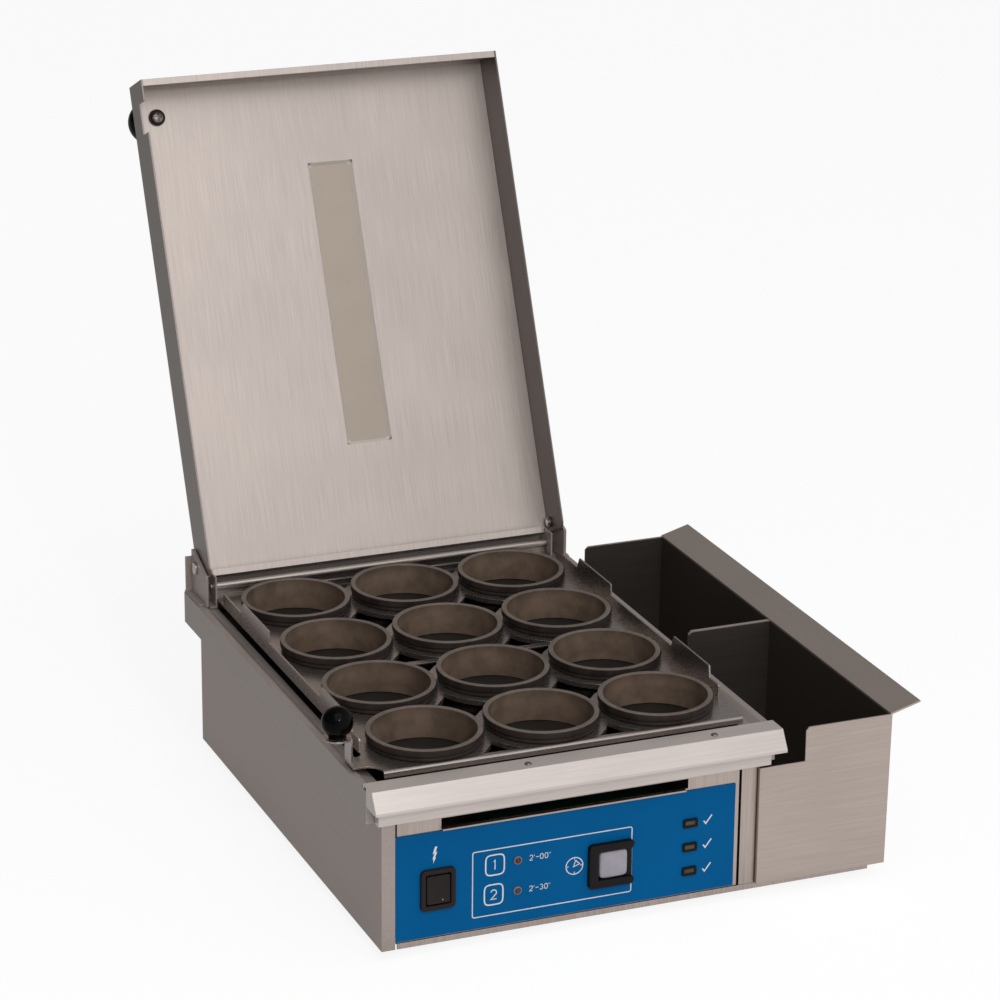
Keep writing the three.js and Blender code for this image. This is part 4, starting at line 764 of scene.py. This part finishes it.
def stroke(path, width, closed=False):
    """Ribbon along a path: each point moves half the width to both sides, on the bisector."""
    path = np.asarray(path, float)
    if closed:
        path = np.vstack([path, path[:1]])
        leaving = np.diff(np.vstack([path, path[1:2]]), axis=0)
        arriving = np.vstack([leaving[-2:-1], leaving[:-1]])
    else:
        steps = np.diff(path, axis=0)
        leaving, arriving = np.vstack([steps, steps[-1:]]), np.vstack([steps[:1], steps])
    leaving, arriving = unit(leaving), unit(arriving)
    side = unit(np.stack([-(leaving + arriving)[:, 1], (leaving + arriving)[:, 0]], axis=-1))
    square = np.stack([-leaving[:, 1], leaving[:, 0]], axis=-1)
    reach = width / 2 / np.clip((side * square).sum(axis=1), 0.5, 1)
    offset = side * reach[:, None]
    left, right = path + offset, path - offset
    face, under = FILM_FACE - INK, FILM_FACE + INK / 2
    edges = [placed(left, face), placed(right, face), placed(right, under), placed(left, under)]
    grid = np.stack(edges, axis=1)
    if closed:
        return grid
    ends = [np.broadcast_to(grid[i].mean(axis=0), grid[i].shape)[None] for i in (0, -1)]
    return np.concatenate([ends[0], grid, ends[1]])


def arc_path(x, z, radius, start, stop, steps=14, tall=1.0):
    """Arc of a circle or, where tall is not 1, of an upright ellipse; angles in degrees."""
    t = np.radians(np.linspace(start, stop, steps))
    return np.stack([x + radius * np.cos(t), z + radius * tall * np.sin(t)], axis=-1)


def digit(kind, x, z, height):
    """Centre line of 0, 1, 2 or 3 about its box's middle, and if it closes."""
    h, w = height / 2, height * 0.3
    if kind == "0":
        return super_ellipse(x, z, 2 * w, height, 2.6, 28), True
    if kind == "1":
        return np.array([[x - w * 0.5, z + h * 0.7], [x, z + h], [x, z - h]]), False
    if kind == "2":
        bowl = arc_path(x, z + h - w, w, 165, -35)
        return np.vstack([bowl, [[x - w, z - h], [x + w * 1.05, z - h]]]), False
    upper = arc_path(x, z + h * 0.5, w * 0.9, 150, -80, 10, h * 0.5 / (w * 0.9))
    lower = arc_path(x, z - h * 0.5, w, 80, -150, 10, h * 0.5 / w)
    return np.vstack([upper, lower]), False


# %% [markdown]
# The timer's field has a frame, two boxed numerals with their minutes and seconds, and a clock. Each
# lamp has a tick. All of these are strokes of one printed piece.

# %% Printed marks
FRAME = {"x": 151.8, "z": 46.3, "width": 143.4, "height": 59.4, "radius": 1.8}
NUMERAL_BOXES = {"1": (100.0, 61.8), "2": (99.0, 35.0)}  # middle of each numeral's box
BOX_SIZE, NUMERAL_HEIGHT, SMALL_HEIGHT = (16.6, 18.2), 8.4, 4.5
SETTINGS = {"00": 62.9, "30": 34.9}  # seconds of each setting, and the height of its line
CLOCK, DIAL, SPOKE = np.array([171.5, 48.8]), 7.6, (5.2, 7.0)  # middle, radius, ends of a spoke
HANDS = [[170.6, 48.2], [172.6, 53.6], [176.2, 50.0]]
TICK = np.array([[12.6, -0.2], [14.6, -2.9], [20.2, 4.4]])  # from the lamp's middle
BOLD, PLAIN, FINE = 1.25, 0.95, 0.65  # widths of the strokes

strokes = [stroke(round_box(**FRAME), PLAIN, closed=True)]
for kind, (x, z) in NUMERAL_BOXES.items():
    strokes.append(stroke(super_ellipse(x, z, *BOX_SIZE), BOLD, closed=True))
    strokes.append(stroke(digit(kind, x, z, NUMERAL_HEIGHT)[0], PLAIN))
for seconds, z in SETTINGS.items():
    strokes.append(stroke(digit("2", 132.4, z, SMALL_HEIGHT)[0], FINE))
    strokes.append(stroke([[135.2, z + 2.4], [135.0, z + 1.0]], 0.5))
    strokes.append(stroke([[136.6, z + 0.1], [139.2, z + 0.1]], FINE))
    for place, kind in zip((141.8, 146.0), seconds):
        path, closed = digit(kind, place, z, SMALL_HEIGHT)
        strokes.append(stroke(path, FINE, closed))
    strokes += [stroke([[x, z + 2.4], [x - 0.1, z + 1.2]], 0.45) for x in (148.6, 149.6)]
strokes.append(stroke(arc_path(*CLOCK, DIAL, 0, 345, 32), PLAIN, closed=True))
for angle in range(0, 360, 90):
    spoke = arc_path(0, 0, 1, angle, angle, 1)[0]
    strokes.append(stroke([CLOCK + spoke * reach for reach in SPOKE], 0.7))
strokes.append(stroke(HANDS, 0.8, closed=True))
lamp_nodes = ("lamp_upper", "lamp_middle", "lamp_lower")
lamp_places = [on_panel(name) for name in lamp_nodes]
for place in lamp_places:
    strokes.append(stroke(place + TICK, 1.2))
surface("panel_printed_marks", strokes, ink_white, "cabinet", wrap=(False, True))
print("strokes", len(strokes))

# %% [markdown]
# The lightning mark is a filled shape, so it is a flat prism: two outlines and a wall of quads.

# %% Lightning mark
BOLT_PLACE, BOLT_STRETCH = [46.7, 79.8], [0.78, 1.0]
bolt = BOLT_PLACE + BOLT_STRETCH * np.array([
    [0.2, 7.4], [2.7, 7.4], [0.9, 2.3], [2.8, 2.7], [0.1, -2.5], [1.5, -2.2], [-2.0, -7.6], [-1.5, -3.5],
    [-2.9, -3.9], [-0.5, 1.2], [-2.5, 0.8],
])
count = len(bolt)
points = np.vstack([placed(bolt, FILM_FACE - INK), placed(bolt, FILM_FACE + INK / 2)])
faces = [tuple(range(count)), tuple(range(2 * count - 1, count - 1, -1))]
faces += [(i, (i + 1) % count, (i + 1) % count + count, i + count) for i in range(count)]
bolt_mesh = bpy.data.meshes.new("panel_lightning_mark")
bolt_mesh.from_pydata(points.tolist(), [], faces)
finished("panel_lightning_mark", bolt_mesh, ink_white, "cabinet", smooth=10)
print("lightning mark", count, "corners")

# %% [markdown]
# The main switch's bezel is moulded in brown-black ABS. It is a loft from its outer outline, over the
# rounded front edge, into the opening. The frame round the timer's key is made of the same rows.

# %% Bezel of the main switch
switch_x, switch_z = on_panel("switch_bezel")


def bezel_rows(x, z, size, opening, radius, proud, inner_radius, depth):
    """Outline and depth of each row: up the outer wall, over the edge and the front, into the opening."""
    face = -proud
    outer = ((0, 0.0), (0, face + 1.2), (0.35, face + 0.35), (1.2, face))
    inner = ((1.4, face), (0.5, face + 0.3), (0, face + 1.0), (0, depth))
    rows = [(shrunk(x, z, size, radius, less), y) for less, y in outer]
    rows += [(shrunk(x, z, opening, inner_radius, -more), y) for more, y in inner]
    return [*rows, (shrunk(x, z, size, radius, 4.5), depth)]


switch_rows = bezel_rows(
    switch_x, switch_z, size=(31, 37), opening=(22, 28), radius=4.5, proud=3.0, inner_radius=1.2,
    depth=12.6,
)
bezel = surface("switch_bezel_moulding", [lofted(switch_rows)], switch_black, "cabinet")
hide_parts("switch_bezel")
print("switch at", switch_x.round(1), switch_z.round(1))

# %% [markdown]
# The rocker's face bends in the middle, and its top half stands out, so each outline of its loft is
# deeper or shallower by its height. The grey mark on its lower half follows the same face.

# %% Rocker of the main switch
ROCKER, ROCKER_CORNER, ROCKER_BACK = (20.8, 25.2), 1.6, 5.0
HALF_HEIGHT, MIDDLE_DEPTH, TOP_RISE, FOOT_FALL = 12.6, -0.8, 1.6, 2.2  # of the bent face
MARK_ACROSS, MARK_UP = 3.7, np.array([-7.4, -10.0])  # from the switch's middle
MARK_SECTION = ((-0.45, -0.06), (0.45, -0.06), (0.45, 0.05), (-0.45, 0.05))  # across and in depth


def rocker_face(outline):
    """Depth of the rocker's face: a straight run from each end to the bend in its middle."""
    up = (np.asarray(outline)[:, 1] - switch_z) / HALF_HEIGHT
    return np.where(up > 0, MIDDLE_DEPTH - TOP_RISE * up, MIDDLE_DEPTH + FOOT_FALL * up)


def rocker_outline(less):
    """Outline of the rocker, drawn in by less."""
    return shrunk(switch_x, switch_z, ROCKER, ROCKER_CORNER, less, less / 2)


rocker_rows = [(rocker_outline(0.0), ROCKER_BACK)]
for less, behind_face in ((0.0, 0.9), (0.3, 0.25), (0.9, 0.0), (1.6, 0.25)):
    outline = rocker_outline(less)
    rocker_rows.append((outline, rocker_face(outline) + behind_face))
rocker = solid("switch_rocker_moulding", rocker_rows, switch_black, "rocker")
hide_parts("switch_rocker")

mark_x, mark_z = switch_x + MARK_ACROSS, switch_z + MARK_UP
mark_depth = rocker_face([[mark_x, z] for z in mark_z])
mark = np.array([
    [[mark_x + dx, y + dy, z] for dx, dy in MARK_SECTION] for z, y in zip(mark_z, mark_depth)
])
ends = [np.broadcast_to(end.mean(axis=0), end.shape)[None] for end in mark]
mark = corner + np.concatenate([ends[0], mark, ends[1]]) * MM
surface("switch_rocker_mark", [mark], ink_grey, "rocker", wrap=(False, True), smooth=10)
print("rocker", ROCKER, "mm")

# %% [markdown]
# The timer key stands behind a guard, a low frame with a thicker bar at the left, top and bottom, so
# that a hand that brushes past can't press the key.

# %% Guard of the timer key
BAR_HALF, BAR_PROUD, BAR_EDGE, BAR_BACK = 3.6, 4.5, 1.2, 0.2
BAR_OFF = 16.4  # from the guard's middle to a bar's
POST, POST_CORNER = (8.8, 37), 2.4

guard_x, guard_z = on_panel("timer_key_guard")
guard_left, guard_right = guard_x - 21.5, guard_x + 19.6
guard_rows = bezel_rows(
    guard_x - 1.5, guard_z, size=(40, 39), opening=(28, 27), radius=2.5, proud=1.8, inner_radius=1.0,
    depth=11,
)
guard = surface("timer_guard_frame", [lofted(guard_rows)], moulded_black, "cabinet")
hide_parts("timer_key_guard")


def bar_rows(z):
    """Bar along x: a capsule, drawn in by a quarter circle towards its front."""
    def capsule(less):
        radius = BAR_HALF - less
        return np.vstack([
            arc_path(guard_right - BAR_HALF, z, radius, -90, 90, 12),
            arc_path(guard_left + BAR_HALF, z, radius, 90, 270, 12),
        ])

    front = -BAR_PROUD + BAR_EDGE
    turns = np.radians([0, 30, 60, 90])
    edge = [(BAR_EDGE * (1 - math.cos(t)), front - BAR_EDGE * math.sin(t)) for t in turns]
    return drawn_in(capsule, [(0, BAR_BACK), *edge])


def post(less):
    """Outline of the guard's left post, drawn in by less."""
    return shrunk(guard_left + POST[0] / 2, guard_z, POST, POST_CORNER, less)


for label, z in (("upper", guard_z + BAR_OFF), ("lower", guard_z - BAR_OFF)):
    solid(f"timer_guard_bar_{label}", bar_rows(z), moulded_black, "cabinet")
post_rows = drawn_in(post, [(0, BAR_BACK), (0, -3.2), (0.4, -3.9), (1.2, -4.3)])
solid("timer_guard_bar_left", post_rows, moulded_black, "cabinet")
print("guard at", guard_x.round(1), guard_z.round(1))

# %% [markdown]
# The frosted key's cap is a cushion: a square with swelling sides, whose rows are drawn in and stand
# farther out, but less and less so.

# %% Timer key
CAP, CAP_POWER = (25.4, 24.4), 7  # a high power makes the corners tight


def cushion(less):
    """Outline of the key's cap, drawn in by less."""
    return super_ellipse(guard_x + 1.2, guard_z, CAP[0] - 2 * less, CAP[1] - 2 * less, CAP_POWER)


key_steps = [(0, 6.0), (0, -1.2), (0.4, -2.0), (1.2, -2.5), (2.4, -2.75), (6, -2.85)]
key = solid("timer_key_cap", drawn_in(cushion, key_steps), key_lens, "key")
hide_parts("timer_key")
print("key", CAP, "mm")

# %% [markdown]
# Three indicator lamps are black bezels with a smoked window, a small pane, set back in them.

# %% Indicator lamps
LAMP, LAMP_OPENING, LAMP_PANE = (13.5, 8), (9.4, 4.2), (9.8, 4.6)
OUTSIDE = ((0, 0), (0, -1.1), (0.2, -1.5), (0.6, -1.6))  # how far a row is drawn in, and its depth
OPENING = ((0.3, -1.6), (0.0, -1.3), (0.0, 1.5))  # how far a row is widened, and its depth
PANE = ((0, 0.6), (0, -0.5), (0.3, -0.7))
for name, (x, z) in zip(lamp_nodes, lamp_places):
    rows = [(shrunk(x, z, LAMP, 1.4, less), y) for less, y in OUTSIDE]
    rows += [(shrunk(x, z, LAMP_OPENING, 0.4, -more), y) for more, y in OPENING]
    rows.append((round_box(x, z, 10.6, 5.4, 1.0), 1.5))  # hidden, closes the bezel behind
    lamp = surface(f"{name}_bezel", [lofted(rows)], moulded_black, "cabinet")
    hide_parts(name)
    pane = [(shrunk(x, z, LAMP_PANE, 0.6, less, 0), y) for less, y in PANE]
    solid(f"{name}_window", pane, lens_dark, "cabinet")
print("lamps", len(lamp_nodes))

# %% [markdown]
# The two diodes sit in grey collars. A collar is turned like the rings and then laid down, so that
# its axis points out of the film.

# %% Diode collars
COLLAR_SECTION = [[2.45, 0.0], [3.7, 0.0], [3.7, 0.9], [3.1, 1.3], [2.45, 1.1]]  # radius and height
COLLAR_SOFT, COLLAR_GAP = 0.25, 0.02  # corner radius, gap to the film
collar_grey = coated("diode collars, grey nylon", 0x87807F, 0x777170, 0.4)
for name in ("led_upper", "led_lower"):
    x, z = on_panel(name)
    grid = lathe(rounded(COLLAR_SECTION, COLLAR_SOFT), 40)
    depth = FILM_FACE - COLLAR_GAP - grid[..., 2]
    grid = np.stack([grid[..., 0] + x, depth, grid[..., 1] + z], axis=-1)
    surface(f"{name}_collar", [corner + grid * MM], collar_grey, "cabinet")
    print(name, "collar at", x.round(1), z.round(1))

# %% [markdown]
# Two pan-head screws hold the rail. Each is a turned dome: the slots of a real head would be about one
# pixel wide here and are left out.

# %% Rail screws
RAIL_SCREWS = {"left": 125.0, "right": 293.1}  # distance from the cabinet's left side
RAIL_SCREW_Y = -8.2
HEAD_SECTION = [[0.01, 1.5], [2.0, 1.3], [3.0, 0.5], [3.2, 0.0], [0.01, 0.0]]  # radius and height
HEAD_SOFT, CORE = 0.3, 0.02  # corner radius, radius of the middle
rail_top = (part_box("front_rail")[1][2] - corner[2]) / MM
head = rounded(HEAD_SECTION, HEAD_SOFT)
head = np.vstack([[[0, 1.5]], head[head[:, 0] > CORE], [[0, 0]]])
for label, x in RAIL_SCREWS.items():
    grid = corner + (lathe(head, 32) + [x, RAIL_SCREW_Y, rail_top]) * MM
    surface(f"rail_screw_{label}", [grid], dull_steel, "cabinet", wrap=(True, False))
print("rail screws", RAIL_SCREWS)

# %% [markdown]
# The studio is plain: a pale floor that runs to a white surround, one large soft lamp over the front
# and a small one near the camera, which puts the sparkle on knobs and edges. Steel shows what it
# mirrors, and here that is a studio that is bright in front and darker at the back, the left and the
# ceiling, so the sheets that face sideways look darker. Its light on matt surfaces falls off likewise.

# %% Surround
DARK_SIDE = 0.3  # brightness of the studio's dark sides, against its front
CEILING, CEILING_FADE = 0.75, (0.5, 0.85)  # brightness, and where it begins
LEFT_FADE, BACK_FADE = (-0.7, -0.1), (-0.25, 0.55)
SHED = 0.55  # the surround's light on matt surfaces


def bright_front(tree, x, y, x_range, y_range):
    """1 in front and to the right, DARK_SIDE to the left and the back, with a soft passage."""
    from_back = ranged(tree, y, 1.0, DARK_SIDE, *y_range)
    return product(tree, from_back, ranged(tree, x, DARK_SIDE, 1.0, *x_range))


world = bpy.data.worlds.new("studio")
bpy.context.scene.world = world
world.use_nodes = True
tree = world.node_tree
x, y, z = split(tree, add_node(tree, "TexCoord").outputs["Generated"])
rays = add_node(tree, "LightPath").outputs
front = bright_front(tree, x, y, LEFT_FADE, BACK_FADE)
around = product(tree, front, ranged(tree, z, 1.0, CEILING, *CEILING_FADE))
mirrored = product(tree, rays["Is Glossy Ray"], around)
seen = maths(tree, "MAXIMUM", rays["Is Camera Ray"], rays["Is Transmission Ray"])
shed = product(tree, rays["Is Diffuse Ray"], product(tree, front, SHED))
strength = maths(tree, "ADD", maths(tree, "ADD", mirrored, seen), shed)
fill(tree, tree.nodes["Background"], {"Strength": strength, "Color": (1, 1, 1, 1)})
print("dark side", DARK_SIDE)

# %% [markdown]
# Both lamps are square areas turned to the cooker. The large one gives soft shadows.

# %% Lamps
AIM = (0, 0, 0.15)  # the middle of the cabinet


def soft_lamp(name, place, size, power):
    """Square lamp at place, turned to the cooker; size in metres, power in watts."""
    lamp = bpy.data.objects.new(name, bpy.data.lights.new(name, "AREA"))
    lamp.data.size = size
    lamp.data.energy = power
    lamp.location = place
    lamp.rotation_euler = (Vector(AIM) - Vector(place)).to_track_quat("-Z", "Y").to_euler()
    bpy.context.scene.collection.objects.link(lamp)
    print(name, "lamp", power, "W")


soft_lamp("key", (-0.4, -2.1, 3.2), 3.2, 38)
soft_lamp("sparkle", (-0.4, -3.0, 1.9), 0.22, 16)

# %% [markdown]
# The floor is matt white. Seen by the camera it also glows, so that it has no horizon. The steel
# mirrors that glow only in front and to the right of the cabinet, as with the surround.

# %% Floor
FLOOR_REACH = 20  # metres
GLOW, GLOW_SHARE = 1.1, 0.8
floor_material, tree, shader = new_material("floor, matt white", Roughness=0.9, Base_Color=linear(0xF4F4F4))
rays = add_node(tree, "LightPath").outputs
x, y, _ = split(tree, add_node(tree, "NewGeometry").outputs["Position"])
around = bright_front(tree, x, y, (corner[0] - 0.3, corner[0]), (corner[1] - 0.08, corner[1] + 0.02))
mirrored = product(tree, rays["Is Glossy Ray"], around)
seen = maths(tree, "MAXIMUM", rays["Is Camera Ray"], mirrored)
share = product(tree, seen, GLOW_SHARE)
glow = add_node(tree, "Emission", {"Color": (1, 1, 1, 1), "Strength": GLOW})
blend = add_node(tree, "MixShader", {0: share, 1: shader.outputs[0], 2: glow.outputs[0]})
tree.links.new(blend.outputs[0], tree.nodes["Material Output"].inputs["Surface"])
floor_mesh = bpy.data.meshes.new("floor")
floor_corners = [(FLOOR_REACH * x, FLOOR_REACH * y, 0) for x, y in ((-1, -1), (1, -1), (1, 1), (-1, 1))]
floor_mesh.from_pydata(floor_corners, [], [(0, 1, 2, 3)])
floor_mesh.materials.append(floor_material)
floor = bpy.data.objects.new("floor", floor_mesh)
bpy.context.scene.collection.objects.link(floor)
floor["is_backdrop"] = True
bpy.context.scene.view_settings.view_transform = "Standard"
print("floor", 2 * FLOOR_REACH, "m wide")

# %% [markdown]
# The boxes of the solids and of all that shows are printed.

# %% Sizes and finish
visual_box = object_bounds()
for label, box in (("cad box", cad_box), ("visual box", visual_box)):
    print(label, [[round(v, 4) for v in c] for c in box])
